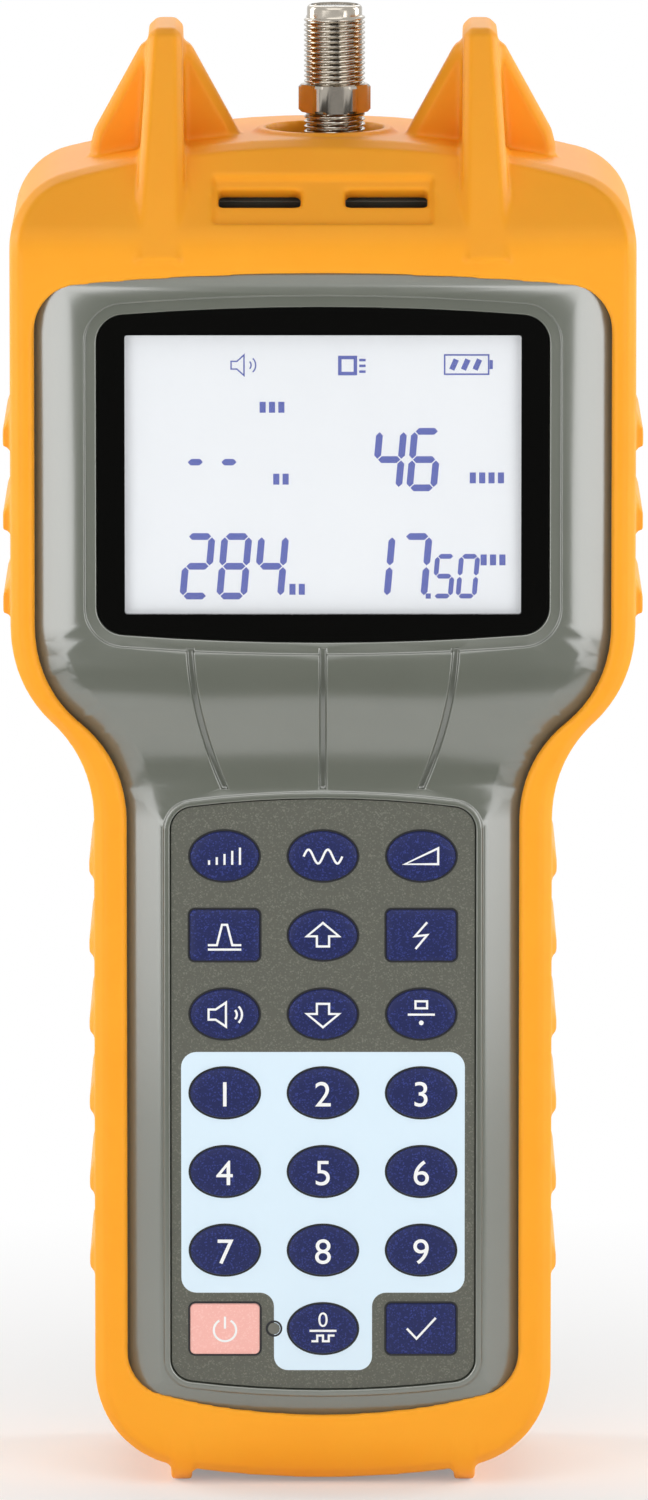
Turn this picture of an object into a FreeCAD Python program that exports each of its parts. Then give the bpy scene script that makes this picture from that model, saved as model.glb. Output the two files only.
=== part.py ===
import FreeCAD, Part
import math
import os
from types import SimpleNamespace

from FreeCAD import Placement, Rotation, Vector

# Signal level meter: a hand-held meter with a keypad grip and a wide display head, in a rubber boot.
# It stands on the boot's two foot ribs. X runs to the right, Y to the back, Z up. Millimetres.

SIZES = {
    # Rubber boot
    "foot_rise": 0.8,
    "foot_width": 3.3,
    "foot_spacing": 44.3,
    "foot_front_radius": 8.0,
    "foot_rear_radius": 8.0,
    "boot_clearance": 0.25,
    "boot_base_wall": 3.25,
    "boot_top_wall": 5.25,
    "boot_head_wall": 2.25,
    "boot_grip_wall": 3.55,
    "boot_back_wall": 4.15,
    "boot_top_arch": 166.0,
    "boot_base_arch": 130.0,
    "boot_shoulder_radius": 11.0,
    "boot_heel_radius": 16.0,
    "boot_edge_chamfer": 1.6,
    "boot_rear_chamfer": 2.4,
    "boot_crown_radius": 8.0,
    "boot_chin_radius": 11.0,
    "lip_setback": -0.45,
    "lip_thickness": 2.25,
    "lip_overlap": 1.3,
    "lip_land": 2.1,
    "lip_chamfer": 0.6,
    "rear_lip_overlap": 5.0,
    "rear_lip_top": 8.0,
    "rear_lip_base": 8.5,
    "rear_lip_corner": 5.0,
    # Grip ridges on the boot's sides
    "head_ridge_rise": 1.25,
    "head_ridge_height": 6.3,
    "head_ridge_pitch": 13.0,
    "head_ridge_start": 1.2,
    "grip_ridge_rise": 0.8,
    "grip_ridge_height": 5.5,
    "grip_ridge_pitch": 12.45,
    "grip_ridge_start": 29.9,
    "ridge_flat_share": 0.45,
    "ridge_length": 36.0,
    # Guard horns either side of the cable socket
    "horn_offset": 24.4,
    "horn_rise": 17.0,
    "horn_tip_width": 5.2,
    "horn_base_width": 8.1,
    "horn_lean": 0.5,
    "horn_proud": 0.95,
    "horn_tip_depth": 19.0,
    "horn_chamfer": 1.2,
    "horn_plate_width": 23.6,
    "horn_plate_sink": 0.85,
    "horn_plate_drop": 2.4,
    "horn_plate_tip_width": 6.6,
    "horn_plate_thickness": 5.5,
    "horn_plate_chamfer": 1.3,
    # Sound slots in the boot's sloping crown
    "vent_width": 34.2,
    "vent_height": 8.9,
    "vent_depth": 0.8,
    "vent_rise": 4.75,
    "slot_width": 12.7,
    "slot_height": 3.4,
    "slot_lift": 0.85,
    "slot_spacing": 19.6,
    # Case
    "case_edge_run": 6.0,
    "case_edge_drop": 2.7,
    "case_rear_chamfer": 1.6,
    "case_shoulder_radius": 10.0,
    "case_heel_radius": 12.5,
    "case_crown_radius": 6.0,
    "case_chin_radius": 12.0,
    "case_wall": 2.4,
    "case_side_wall": 3.4,
    "case_crown_rise": 16.2,
    "crown_angle": 42.0,
    "chin_angle": 62.0,
    "head_depth": 25.0,
    "step_depth": 4.5,
    "step_rise": 20.0,
    "step_gap": 2.1,
    "neck_lead": 5.5,
    "case_back": 22.0,
    "parting_setback": 15.5,
    "head_side": 9.0,
    "grip_side": 8.2,
    # Opening in the front of the boot
    "opening_base_drop": 4.2,
    "opening_top_gap": 2.2,
    "opening_top_arch": 409.0,
    "opening_base_arch": 98.0,
    "opening_shoulder": 7.0,
    "opening_heel": 6.5,
    # Grooves on the neck
    "groove_width": 1.0,
    "groove_depth": 0.8,
    "groove_gap": 0.4,
    "groove_top_spread": 20.6,
    "groove_mid_spread": 19.0,
    "groove_low_spread": 15.2,
    # Display
    "view_width": 61.3,
    "view_height": 43.5,
    "view_margin": 0.6,
    "lens_border_side": 4.25,
    "lens_border_end": 4.25,
    "lens_thickness": 0.9,
    "lens_recess": 1.0,
    "lens_gap": 0.15,
    "lens_corner": 4.2,
    "lens_arch": 406.0,
    "bezel_margin": 2.0,
    "bezel_depth": 0.6,
    "bezel_gap": 1.2,
    "lcd_border": 2.3,
    "lcd_thickness": 2.4,
    "zebra_height": 2.2,
    # Keypad
    "key_pitch_across": 15.3,
    "key_pitch_up": 12.45,
    "key_width": 10.7,
    "key_height": 7.8,
    "square_key_width": 10.85,
    "square_key_height": 8.0,
    "square_key_corner": 0.5,
    "key_gap": 0.3,
    "key_rise": 0.6,
    "key_flange": 0.7,
    "key_flange_thickness": 1.0,
    "key_flange_gap": 0.05,
    "key_travel": 0.5,
    "key_margin_top": 5.0,
    "key_margin_low": 5.6,
    "key_margin_side": 2.95,
    "panel_base_gap": 11.4,
    "panel_recess": 1.2,
    "panel_thickness": 1.0,
    "panel_gap": 0.2,
    "panel_corner": 3.5,
    "panel_arch": 166.0,
    "panel_ledge": 1.9,
    "panel_rim_width": 1.0,
    "panel_rim_rise": 0.35,
    # Board and the pieces on it
    "board_setback": 7.0,
    "board_thickness": 1.6,
    "board_inset": 1.4,
    "board_top_drop": 13.5,
    "switch_size": 6.0,
    "switch_gap": 0.15,
    "led_diameter": 1.9,
    "led_hole": 2.2,
    "led_offset": 7.65,
    "led_rise": 0.05,
    "tuner_width": 46.0,
    "tuner_height": 44.0,
    "tuner_depth": 20.0,
    "tuner_top_drop": 9.5,
    "speaker_length": 32.0,
    "speaker_width": 9.0,
    "speaker_depth": 3.5,
    "speaker_drop": 2.55,
    # Cable socket
    "port_offset": 1.8,
    "port_setback": 1.5,
    "port_diameter": 9.525,
    "port_reach": 25.1,
    "port_nose_chamfer": 1.0,
    "port_bore": 7.4,
    "port_bore_depth": 18.0,
    "hex_flats": 10.0,
    "hex_height": 4.3,
    "hex_lift": 8.4,
    "insulator_recess": 0.4,
    "contact_diameter": 1.8,
    "contact_bore": 1.0,
    "contact_recess": 1.2,
    "port_clearance": 0.15,
    "nut_flats": 12.7,
    "nut_height": 2.8,
    "seat_drop": 0.3,
    "seat_diameter": 15.8,
    "ring_offset": 0.3,
    "ring_bore": 18.2,
    "ring_bead": 2.1,
    "ring_slope": 0.7,
    "ring_rise": 0.5,
    # Screws and their bosses
    "screw_diameter": 2.9,
    "screw_clearance": 0.15,
    "screw_head": 5.0,
    "screw_head_height": 2.0,
    "screw_head_clearance": 0.3,
    "screw_bite": 9.0,
    "screw_sink_depth": 6.0,
    "screw_clamp": 2.4,
    "boss_diameter": 8.0,
    "boss_gap": 0.6,
    "head_boss_inset": 8.7,
    "head_boss_drop": 27.1,
    "grip_boss_inset": 9.3,
    "grip_boss_rise": 12.1,
    # Battery and its door
    "cell_diameter": 14.2,
    "cell_length": 50.5,
    "battery_gap": 0.4,
    "tray_wall": 1.4,
    "tray_low": 19.7,
    "door_thickness": 1.6,
    "door_margin": 3.0,
    "door_gap": 0.2,
    "door_screw_lift": 3.8,
    "door_screw_margin": 3.4,
    "door_screw_depth": 8.0,
    "tab_width": 8.0,
    "tab_spacing": 20.0,
    "tab_thickness": 1.1,
    "tab_reach": 2.4,
    "tab_gap": 0.15,
}

KEY_ROWS = [
    ["key_level", "key_mhz", "key_tilt"],
    ["key_ratio", "key_up", "key_volt"],
    ["key_sound", "key_down", "key_dot"],
    ["key_1", "key_2", "key_3"],
    ["key_4", "key_5", "key_6"],
    ["key_7", "key_8", "key_9"],
    ["key_power", "key_0", "key_ok"],
]
SQUARE_KEYS = ["key_ratio", "key_volt", "key_power", "key_ok"]
LAST_ROW = len(KEY_ROWS) - 1
CELLS_ACROSS = 3
CELLS_ALONG = 2
OVAL_SIDES = 16
ROUND_SIDES = 12

doc = FreeCAD.newDocument("SignalLevelMeter")
sheet = doc.addObject("Spreadsheet::Sheet", "Sizes")
for row, (alias, number) in enumerate(SIZES.items(), start=1):
    sheet.set(f"A{row}", alias)
    sheet.set(f"B{row}", str(number))
    sheet.setAlias(f"B{row}", alias)
doc.recompute()


class Size:
    """A length that carries its number and the expression that ties it to the sheet."""

    def __init__(self, number, text):
        self.number = float(number)
        self.text = text

    def __float__(self):
        return self.number

    def __add__(self, other):
        return Size(self.number + float(other), f"({self.text} + {wording(other)})")

    def __radd__(self, other):
        return Size(float(other) + self.number, f"({wording(other)} + {self.text})")

    def __sub__(self, other):
        return Size(self.number - float(other), f"({self.text} - {wording(other)})")

    def __rsub__(self, other):
        return Size(float(other) - self.number, f"({wording(other)} - {self.text})")

    def __mul__(self, other):
        return Size(self.number * float(other), f"({self.text} * {wording(other)})")

    __rmul__ = __mul__

    def __truediv__(self, other):
        return Size(self.number / float(other), f"({self.text} / {wording(other)})")

    def __neg__(self):
        return Size(-self.number, f"(-{self.text})")


def wording(value):
    return value.text if isinstance(value, Size) else repr(float(value))


def bind(thing, **settings):
    """Tie an object's properties to the sheet; an underscore in a name stands for a dot."""
    for name, value in settings.items():
        thing.setExpression(name.replace("_", "."), wording(value))


d = SimpleNamespace(**{alias: Size(sheet.get(alias), f"Sizes.{alias}") for alias in SIZES})

# Heights, from the foot ribs up
BOOT_BASE = d.foot_rise
CASE_BASE = BOOT_BASE + d.boot_base_wall + d.boot_clearance
PANEL_LOW = CASE_BASE + d.panel_base_gap
LOW_ROW = PANEL_LOW + d.key_margin_low + d.key_height / 2
TOP_ROW = LOW_ROW + d.key_pitch_up * LAST_ROW
PANEL_TOP = TOP_ROW + d.key_height / 2 + d.key_margin_top
STEP_LOW = PANEL_TOP + d.step_gap
STEP_TOP = STEP_LOW + d.step_rise
NECK_LOW = STEP_LOW - d.neck_lead
NECK_TOP = STEP_TOP + d.neck_lead
BEZEL_LOW = STEP_TOP + d.bezel_gap
LENS_LOW = BEZEL_LOW + d.bezel_margin
VIEW_LOW = LENS_LOW + d.lens_border_end
VIEW_TOP = VIEW_LOW + d.view_height
LENS_TOP = VIEW_TOP + d.lens_border_end
BEZEL_TOP = LENS_TOP + d.bezel_margin
CROWN_LOW = BEZEL_TOP + d.bezel_gap
OPENING_TOP = CROWN_LOW + d.opening_top_gap
OPENING_BASE = PANEL_LOW - d.opening_base_drop
CASE_TOP = CROWN_LOW + d.case_crown_rise
BOOT_TOP = CASE_TOP + d.boot_clearance + d.boot_top_wall

# Half widths
PANEL_HALF = d.key_pitch_across + d.key_width / 2 + d.key_margin_side
LENS_HALF = d.view_width / 2 + d.lens_border_side
BEZEL_HALF = LENS_HALF + d.bezel_margin
CASE_HEAD = BEZEL_HALF + d.head_side
CASE_GRIP = PANEL_HALF + d.grip_side
BOOT_HEAD = CASE_HEAD + d.boot_clearance + d.boot_head_wall
BOOT_GRIP = CASE_GRIP + d.boot_clearance + d.boot_grip_wall
ACROSS = BOOT_HEAD * 2

# Depths, from the front of the head back
HEAD_FRONT = -d.head_depth
GRIP_FRONT = HEAD_FRONT + d.step_depth
BOOT_BACK = d.case_back + d.boot_clearance + d.boot_back_wall
PARTING = GRIP_FRONT + d.parting_setback
PANEL_BACK = GRIP_FRONT + d.panel_recess
PANEL_FRONT = PANEL_BACK - d.panel_thickness
FLANGE_FRONT = PANEL_BACK + d.key_flange_gap
FLANGE_BACK = FLANGE_FRONT + d.key_flange_thickness
KEY_FRONT = PANEL_FRONT - d.key_rise
SWITCH_FRONT = FLANGE_BACK + d.key_travel + d.switch_gap
BOARD_FRONT = GRIP_FRONT + d.board_setback
BOARD_BACK = BOARD_FRONT + d.board_thickness
LENS_BACK = HEAD_FRONT + d.bezel_depth + d.lens_recess
LCD_FRONT = HEAD_FRONT + d.case_wall
REAR_WALL = d.case_back - d.case_wall
BATTERY_BACK = d.case_back - d.door_thickness - d.battery_gap
BATTERY_FRONT = BATTERY_BACK - d.cell_diameter
TRAY_FLOOR = BATTERY_FRONT - d.battery_gap


# Flat geometry: a path is a list of ("line", from, to) and ("arc", from, through, to)
def drawn(path):
    shapes = []
    for kind, *points in path:
        points = [Vector(u, v, 0) for u, v in points]
        shapes.append(Part.LineSegment(*points) if kind == "line" else Part.Arc(*points))
    return shapes


def mirrored(path):
    """The same path on the other side of the upright axis, run the other way."""
    flipped = []
    for kind, *points in reversed(path):
        flipped.append((kind, *[(-u, v) for u, v in reversed(points)]))
    return flipped


def polygon(points):
    return [("line", a, b) for a, b in zip(points, points[1:] + points[:1])]


def box_path(half, low, high):
    half, low, high = float(half), float(low), float(high)
    return polygon([(-half, low), (half, low), (half, high), (-half, high)])


def s_bend(lower, upper):
    """Two equal arcs from one upright line to the next, tangent to both."""
    (u0, v0), (u1, v1) = lower, upper
    turn = 2 * math.atan2(abs(u1 - u0), v1 - v0)
    radius = (v1 - v0) / (2 * math.sin(turn))
    side = math.copysign(1, u1 - u0)
    bulge = side * radius * (1 - math.cos(turn / 2))
    rise = radius * math.sin(turn / 2)
    middle = ((u0 + u1) / 2, (v0 + v1) / 2)
    return [
        ("arc", lower, (u0 + bulge, v0 + rise), middle),
        ("arc", middle, (u1 - bulge, v1 - rise), upper),
    ]


def corner(half, level, arch, radius, up):
    """A corner arc from an upright side to a straight or arched end; up is 1 at the top, -1 at the base."""
    run = half - radius
    if arch is None:
        centre, on_end = level - up * radius, (run, level)
    else:
        arch_centre = level - up * arch
        centre = arch_centre + up * math.sqrt((arch - radius) ** 2 - run**2)
        share = arch / (arch - radius)
        on_end = (run * share, arch_centre + (centre - arch_centre) * share)
    turn = math.atan2(on_end[1] - centre, on_end[0] - run)
    through = (run + radius * math.cos(turn / 2), centre + radius * math.sin(turn / 2))
    return (half, centre), through, on_end


def half_end(end, level, arch, up):
    """Half of a straight or arched end, from the end of a corner to its middle."""
    if arch is None:
        return ("line", end, (0.0, level))
    run = end[0] / 2
    return ("arc", end, (run, level - up * (arch - math.sqrt(arch**2 - run**2))), (0.0, level))


def closed_outline(right_side, low, low_arch, high, high_arch):
    """Close a right-hand side path with its mirror image and two ends."""
    top = half_end(right_side[-1][-1], high, high_arch, 1)
    base = half_end(right_side[0][1], low, low_arch, -1)
    right = [(base[0], *reversed(base[1:]))] + right_side + [top]
    return right + mirrored(right)


def arched_panel(half, low, high, arch, radius):
    half, low, high, arch, radius = float(half), float(low), float(high), float(arch), float(radius)
    low_side, low_mid, low_end = corner(half, low, arch, radius, -1)
    top_side, top_mid, top_end = corner(half, high, arch, radius, 1)
    side = [
        ("arc", low_end, low_mid, low_side),
        ("line", low_side, top_side),
        ("arc", top_side, top_mid, top_end),
    ]
    return closed_outline(side, low, arch, high, arch)


def meter_outline(head, grip, base, heel, top, shoulder, base_arch=None, top_arch=None):
    """Front outline of the meter: a narrow grip that swells to a wide head."""
    head, grip, base, top = float(head), float(grip), float(base), float(top)
    base_arch = None if base_arch is None else float(base_arch)
    top_arch = None if top_arch is None else float(top_arch)
    low_side, low_mid, low_end = corner(grip, base, base_arch, float(heel), -1)
    top_side, top_mid, top_end = corner(head, top, top_arch, float(shoulder), 1)
    neck_low, neck_top = (grip, float(NECK_LOW)), (head, float(NECK_TOP))
    side = [
        ("arc", low_end, low_mid, low_side),
        ("line", low_side, neck_low),
        *s_bend(neck_low, neck_top),
        ("line", neck_top, top_side),
        ("arc", top_side, top_mid, top_end),
    ]
    return closed_outline(side, base, base_arch, top, top_arch)


def front_profile(head, grip, crown_low, crown_radius, chin_top, chin_radius):
    """Side view of all that lies in front of the meter's face, as a closed path."""
    head, grip, crown_low, crown_radius = float(head), float(grip), float(crown_low), float(crown_radius)
    chin_top, chin_radius = float(chin_top), float(chin_radius)
    crown, chin = math.radians(float(d.crown_angle)), math.radians(float(d.chin_angle))
    step_low, step_top = (grip, float(STEP_LOW)), (head, float(STEP_TOP))
    reach = float(d.head_depth)
    front, above, below = head - reach, float(BOOT_TOP) + reach, -reach

    def bend(plane, level, radius, turn, up):
        return plane + radius * (1 - math.cos(turn)), level + up * radius * math.sin(turn)

    slope_low = bend(head, crown_low, crown_radius, crown, 1)
    slope_top = (slope_low[0] + (above - slope_low[1]) * math.tan(crown), above)
    chin_end = bend(grip, chin_top, chin_radius, chin, -1)
    chin_out = (chin_end[0] + (chin_end[1] - below) * math.tan(chin), below)
    return [
        ("line", chin_out, chin_end),
        ("arc", chin_end, bend(grip, chin_top, chin_radius, chin / 2, -1), (grip, chin_top)),
        ("line", (grip, chin_top), step_low),
        *s_bend(step_low, step_top),
        ("line", step_top, (head, crown_low)),
        ("arc", (head, crown_low), bend(head, crown_low, crown_radius, crown / 2, 1), slope_low),
        ("line", slope_low, slope_top),
        ("line", slope_top, (front, above)),
        ("line", (front, above), (front, below)),
        ("line", (front, below), chin_out),
    ]


# Solids
def add(kind, name, **settings):
    thing = doc.addObject(kind, name)
    thing.Label = name
    for key, value in settings.items():
        setattr(thing, key, value)
    return thing


def origin_plane(body, role):
    return next(plane for plane in body.Origin.OriginFeatures if plane.Role == role)


def sketch_on(body, role, name, path, offset=0.0):
    """A closed sketch on one of a body's own planes, moved along the plane's normal."""
    sketch = body.newObject("Sketcher::SketchObject", name)
    sketch.AttachmentSupport = [(origin_plane(body, role), "")]
    sketch.MapMode = "FlatFace"
    sketch.setExpression("AttachmentOffset.Base.z", wording(offset))
    sketch.addGeometry(path if not isinstance(path[0], tuple) else drawn(path), False)
    return sketch


def front_pad(name, path, back, front):
    """A body padded forwards from a front-view outline, between two depths."""
    body = doc.addObject("PartDesign::Body", name)
    sketch = sketch_on(body, "XZ_Plane", f"{name}_outline", path, -back)
    pad = body.newObject("PartDesign::Pad", f"{name}_pad")
    pad.Profile = sketch
    bind(pad, Length=back - front)
    return body


def side_pocket(body, path):
    """Cut a side-view profile right across a body."""
    doc.recompute()
    before = body.Shape.Volume
    sketch = sketch_on(body, "YZ_Plane", f"{body.Name}_profile", path)
    pocket = body.newObject("PartDesign::Pocket", f"{body.Name}_cut")
    pocket.Profile = sketch
    pocket.Midplane = True
    bind(pocket, Length=ACROSS * 2)
    doc.recompute()
    if body.Shape.Volume >= before:
        raise ValueError(f"{body.Name}: the profile cuts nothing")


def is_wall(face):
    """True for a face that runs straight from front to back."""
    u0, u1, v0, v1 = face.ParameterRange
    shares = (0.1, 0.5, 0.9)
    normals = [face.normalAt(u0 + (u1 - u0) * p, v0 + (v1 - v0) * q) for p in shares for q in shares]
    return all(abs(normal.y) < 1e-6 for normal in normals)


def edges_between(shape, test):
    """Numbers of the edges whose two faces pass a test."""
    chosen = []
    for number, edge in enumerate(shape.Edges, start=1):
        faces = shape.ancestorsOfType(edge, Part.Face)
        if len(faces) == 2 and test(edge, *faces):
            chosen.append(number)
    return chosen


def rim_edges(shape, ahead):
    """Edges where a form's walls end, either ahead of the parting or behind it."""
    rims = edges_between(shape, lambda edge, one, other: is_wall(one) != is_wall(other))
    return [n for n in rims if (shape.Edges[n - 1].CenterOfMass.y < float(PARTING)) == ahead]


def fuse(name, *things):
    return add("Part::MultiFuse", name, Shapes=list(things))


def cut(name, base, *tools):
    """Cut tools from a base one after another; the last cut carries the name."""
    for index, tool in enumerate(tools, start=1):
        label = name if index == len(tools) else f"{name}_cut_{index}"
        base = add("Part::Cut", label, Base=base, Tool=tool)
    return base


def group(name, *things):
    """Solids that stay apart, kept together as one tool or one sub-part."""
    return add("Part::Compound", name, Links=list(things))


def mirror(name, thing):
    return add("Part::Mirroring", name, Source=thing, Normal=Vector(1, 0, 0))


def block(name, left, right, front, back, low, high):
    """A box between two places on each axis."""
    box = add("Part::Box", name)
    bind(box, Length=right - left, Width=back - front, Height=high - low)
    bind(box, Placement_Base_x=left, Placement_Base_y=front, Placement_Base_z=low)
    return box


def upright(name, diameter, x, y, low, high):
    """A cylinder that stands along Z."""
    cylinder = add("Part::Cylinder", name)
    bind(cylinder, Radius=diameter / 2, Height=high - low)
    bind(cylinder, Placement_Base_x=x, Placement_Base_y=y, Placement_Base_z=low)
    return cylinder


def inward(name, diameter, x, z, front, back):
    """A small round peg or hole that lies along Y, with flat sides that read as round at its size."""
    peg = add("Part::Prism", name, Polygon=ROUND_SIDES)
    peg.Placement = Placement(Vector(), Rotation(Vector(1, 0, 0), -90))
    bind(peg, Circumradius=diameter / 2, Height=back - front)
    bind(peg, Placement_Base_x=x, Placement_Base_y=front, Placement_Base_z=z)
    return peg


def case_form(name, side_grow, face_grow):
    """The closed form of the case, its outline and its faces grown by margins or shrunk by walls."""
    back, front = d.case_back + face_grow, HEAD_FRONT - face_grow
    outline = meter_outline(
        CASE_HEAD + side_grow, CASE_GRIP + side_grow, CASE_BASE - side_grow, d.case_heel_radius + side_grow,
        CASE_TOP + side_grow, d.case_shoulder_radius + side_grow,
    )
    profile = front_profile(
        front, GRIP_FRONT - face_grow, CROWN_LOW, d.case_crown_radius + face_grow,
        CASE_BASE + d.case_chin_radius, d.case_chin_radius + face_grow,
    )
    body = front_pad(f"{name}_body", outline, back, front)
    side_pocket(body, profile)
    return body


def chamfered(name, base, edges, size):
    return add("Part::Chamfer", name, Base=base, Edges=[(n, float(size), float(size)) for n in edges])


# Rubber boot
LIP_HEAD = HEAD_FRONT + d.lip_setback
LIP_GRIP = GRIP_FRONT + d.lip_setback
BOOT_CROWN_LOW = OPENING_TOP + d.lip_land
CROWN = math.radians(float(d.crown_angle))


def boot_opening():
    return meter_outline(
        CASE_HEAD - d.lip_overlap, CASE_GRIP - d.lip_overlap, OPENING_BASE, d.opening_heel,
        OPENING_TOP, d.opening_shoulder, d.opening_base_arch, d.opening_top_arch,
    )


def boot_hollow():
    """The room for the case inside the boot; its front stops behind the lip."""
    gap, front = d.boot_clearance, LIP_HEAD + d.lip_thickness
    outline = meter_outline(
        CASE_HEAD + gap, CASE_GRIP + gap, CASE_BASE - gap, d.case_heel_radius + gap,
        CASE_TOP + gap, d.case_shoulder_radius + gap,
    )
    chin = math.radians(float(d.chin_angle))
    shift = front - HEAD_FRONT
    profile = front_profile(
        front, LIP_GRIP + d.lip_thickness,
        CROWN_LOW + shift / math.tan(CROWN) + gap / math.sin(CROWN), d.case_crown_radius,
        CASE_BASE + d.case_chin_radius - shift / math.tan(chin) - gap / math.sin(chin), d.case_chin_radius,
    )
    body = front_pad("boot_hollow_body", outline, d.case_back + gap, front)
    side_pocket(body, profile)
    return body


def boot_form():
    """The boot's outer form with its front opening and soft edges, before it is hollowed."""
    outline = meter_outline(
        BOOT_HEAD, BOOT_GRIP, BOOT_BASE, d.boot_heel_radius,
        BOOT_TOP, d.boot_shoulder_radius, d.boot_base_arch, d.boot_top_arch,
    )
    profile = front_profile(
        LIP_HEAD, LIP_GRIP, BOOT_CROWN_LOW, d.boot_crown_radius,
        OPENING_BASE - d.lip_land, d.boot_chin_radius,
    )
    body = front_pad("boot_body", outline, BOOT_BACK, LIP_HEAD)
    side_pocket(body, profile)
    eased = chamfered("boot_eased", body, rim_edges(body.Shape, ahead=False), d.boot_rear_chamfer)
    doc.recompute()
    rounded = chamfered("boot_rounded", eased, rim_edges(eased.Shape, ahead=True), d.boot_edge_chamfer)
    opening = front_pad("boot_opening", boot_opening(), PARTING, LIP_HEAD - d.horn_proud)
    opened = cut("boot_opened", rounded, opening)
    doc.recompute()
    wire = Part.Wire([shape.toShape() for shape in drawn(boot_opening())])

    def on_lip(edge, one, other):
        middle = edge.valueAt((edge.FirstParameter + edge.LastParameter) / 2)
        flat = Part.Vertex(middle.x, middle.z, 0)
        in_front = middle.y < float(PARTING) - float(d.case_wall)
        return in_front and is_wall(one) != is_wall(other) and flat.distToShape(wire)[0] < 1e-4

    return chamfered("boot_lipped", opened, edges_between(opened.Shape, on_lip), d.lip_chamfer)


def ridges(name, half, rise, height, pitch, start, count):
    """A column of wedge ridges down one side of the boot, sharp below and sloping above."""
    body = doc.addObject("PartDesign::Body", f"{name}_body")
    inner, outer, low = float(half - d.boot_edge_chamfer), float(half + rise), float(start)
    flat = float(height * d.ridge_flat_share)
    path = polygon([
        (inner, low), (outer, low), (outer, low + flat),
        (float(half), low + float(height)), (inner, low + float(height)),
    ])
    sketch = sketch_on(body, "XZ_Plane", f"{name}_wedge", path)
    pad = body.newObject("PartDesign::Pad", f"{name}_pad")
    pad.Profile = sketch
    pad.Midplane = True
    bind(pad, Length=d.ridge_length)
    doc.recompute()
    copies = [body]
    for index in range(1, count):
        copy = add("Part::Feature", f"{name}_{index}", Shape=body.Shape)
        bind(copy, Placement_Base_z=pitch * index)
        copies.append(copy)
    right = group(f"{name}_right", *copies)
    return [right, mirror(f"{name}_left", right)]


def softened(name, base, low, size):
    """Take the edge off all of a horn's solid that stands above its foot."""
    doc.recompute()
    edges = [n for n, edge in enumerate(base.Shape.Edges, start=1) if edge.BoundBox.ZMax > low + 1e-6]
    return chamfered(name, base, edges, size)


def horn():
    """One guard horn: a tapering fin from front to back, crossed by a plate."""
    x, tip, low = float(d.horn_offset), float(BOOT_TOP + d.horn_rise), float(BOOT_CROWN_LOW)
    tip_half = float(d.horn_tip_width) / 2
    inner_base = x - tip_half - float(d.horn_lean)
    outer_base = inner_base + float(d.horn_base_width)
    fin = front_pad(
        "horn_fin",
        polygon([(inner_base, low), (outer_base, low), (x + tip_half, tip), (x - tip_half, tip)]),
        BOOT_BACK, LIP_HEAD - d.horn_proud,
    )
    face, blunt = float(LIP_HEAD - d.horn_proud), float(d.horn_tip_depth) / 2
    body = doc.addObject("PartDesign::Body", "horn_side")
    side_path = polygon([(face, low), (-face, low), (blunt, tip), (-blunt, tip)])
    sketch = sketch_on(body, "YZ_Plane", "horn_side_profile", side_path)
    pad = body.newObject("PartDesign::Pad", "horn_side_pad")
    pad.Profile = sketch
    bind(pad, Length=d.horn_offset * 2)
    shaped = add("Part::Common", "horn_shaped", Base=fin, Tool=body)
    return softened("horn_softened", shaped, low, d.horn_chamfer), horn_plate(x, tip)


def horn_plate(x, tip):
    """The plate across a horn, wide at the boot and drawn in to the horn's tip."""
    half, tip_half = float(d.horn_plate_width) / 2, float(d.horn_plate_tip_width) / 2
    low, shoulder = float(CASE_TOP), float(BOOT_TOP - d.horn_plate_sink)
    top = tip - float(d.horn_plate_drop)
    points = [(half, low), (half, shoulder), (tip_half, top)]
    points += [(-u, v) for u, v in reversed(points)]
    path = polygon([(x + u, v) for u, v in points])
    body = front_pad("horn_plate", path, d.horn_plate_thickness / 2, -d.horn_plate_thickness / 2)
    return softened("horn_plate_soft", body, low, d.horn_plate_chamfer)


def foot():
    """One foot rib under the boot, curved up at the front and the back."""
    front, back = float(LIP_GRIP), float(BOOT_BACK)
    ahead, behind = float(d.foot_front_radius), float(d.foot_rear_radius)
    top = float(CASE_BASE + d.case_wall)
    slant = 1 - math.sqrt(0.5)
    path = [
        ("line", (front + ahead, 0.0), (back - behind, 0.0)),
        ("arc", (back - behind, 0.0), (back - behind * slant, behind * slant), (back, behind)),
        ("line", (back, behind), (back, behind + top)),
        ("line", (back, behind + top), (front, ahead + top)),
        ("line", (front, ahead + top), (front, ahead)),
        ("arc", (front, ahead), (front + ahead * slant, ahead * slant), (front + ahead, 0.0)),
    ]
    body = doc.addObject("PartDesign::Body", "foot_rib")
    sketch = sketch_on(body, "YZ_Plane", "foot_profile", path, d.foot_spacing / 2 - d.foot_width / 2)
    pad = body.newObject("PartDesign::Pad", "foot_pad")
    pad.Profile = sketch
    bind(pad, Length=d.foot_width)
    return body


def slope_box(name, across, along, width, height, front, depth):
    """A box on the crown's slope, a way up from where it starts, between two depths under it."""
    box = add("Part::Box", name)
    bind(box, Length=width, Width=depth - front, Height=height)
    start_y = float(LIP_HEAD + d.boot_crown_radius * (1 - math.cos(CROWN)) + along * math.sin(CROWN))
    start_z = float(BOOT_CROWN_LOW + d.boot_crown_radius * math.sin(CROWN) + along * math.cos(CROWN))
    laid = Placement(Vector(0, start_y, start_z), Rotation(Vector(1, 0, 0), -float(d.crown_angle)))
    corner_place = Vector(float(across - width / 2), float(front), -float(height) / 2)
    box.Placement = laid.multiply(Placement(corner_place, Rotation()))
    return box


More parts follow.
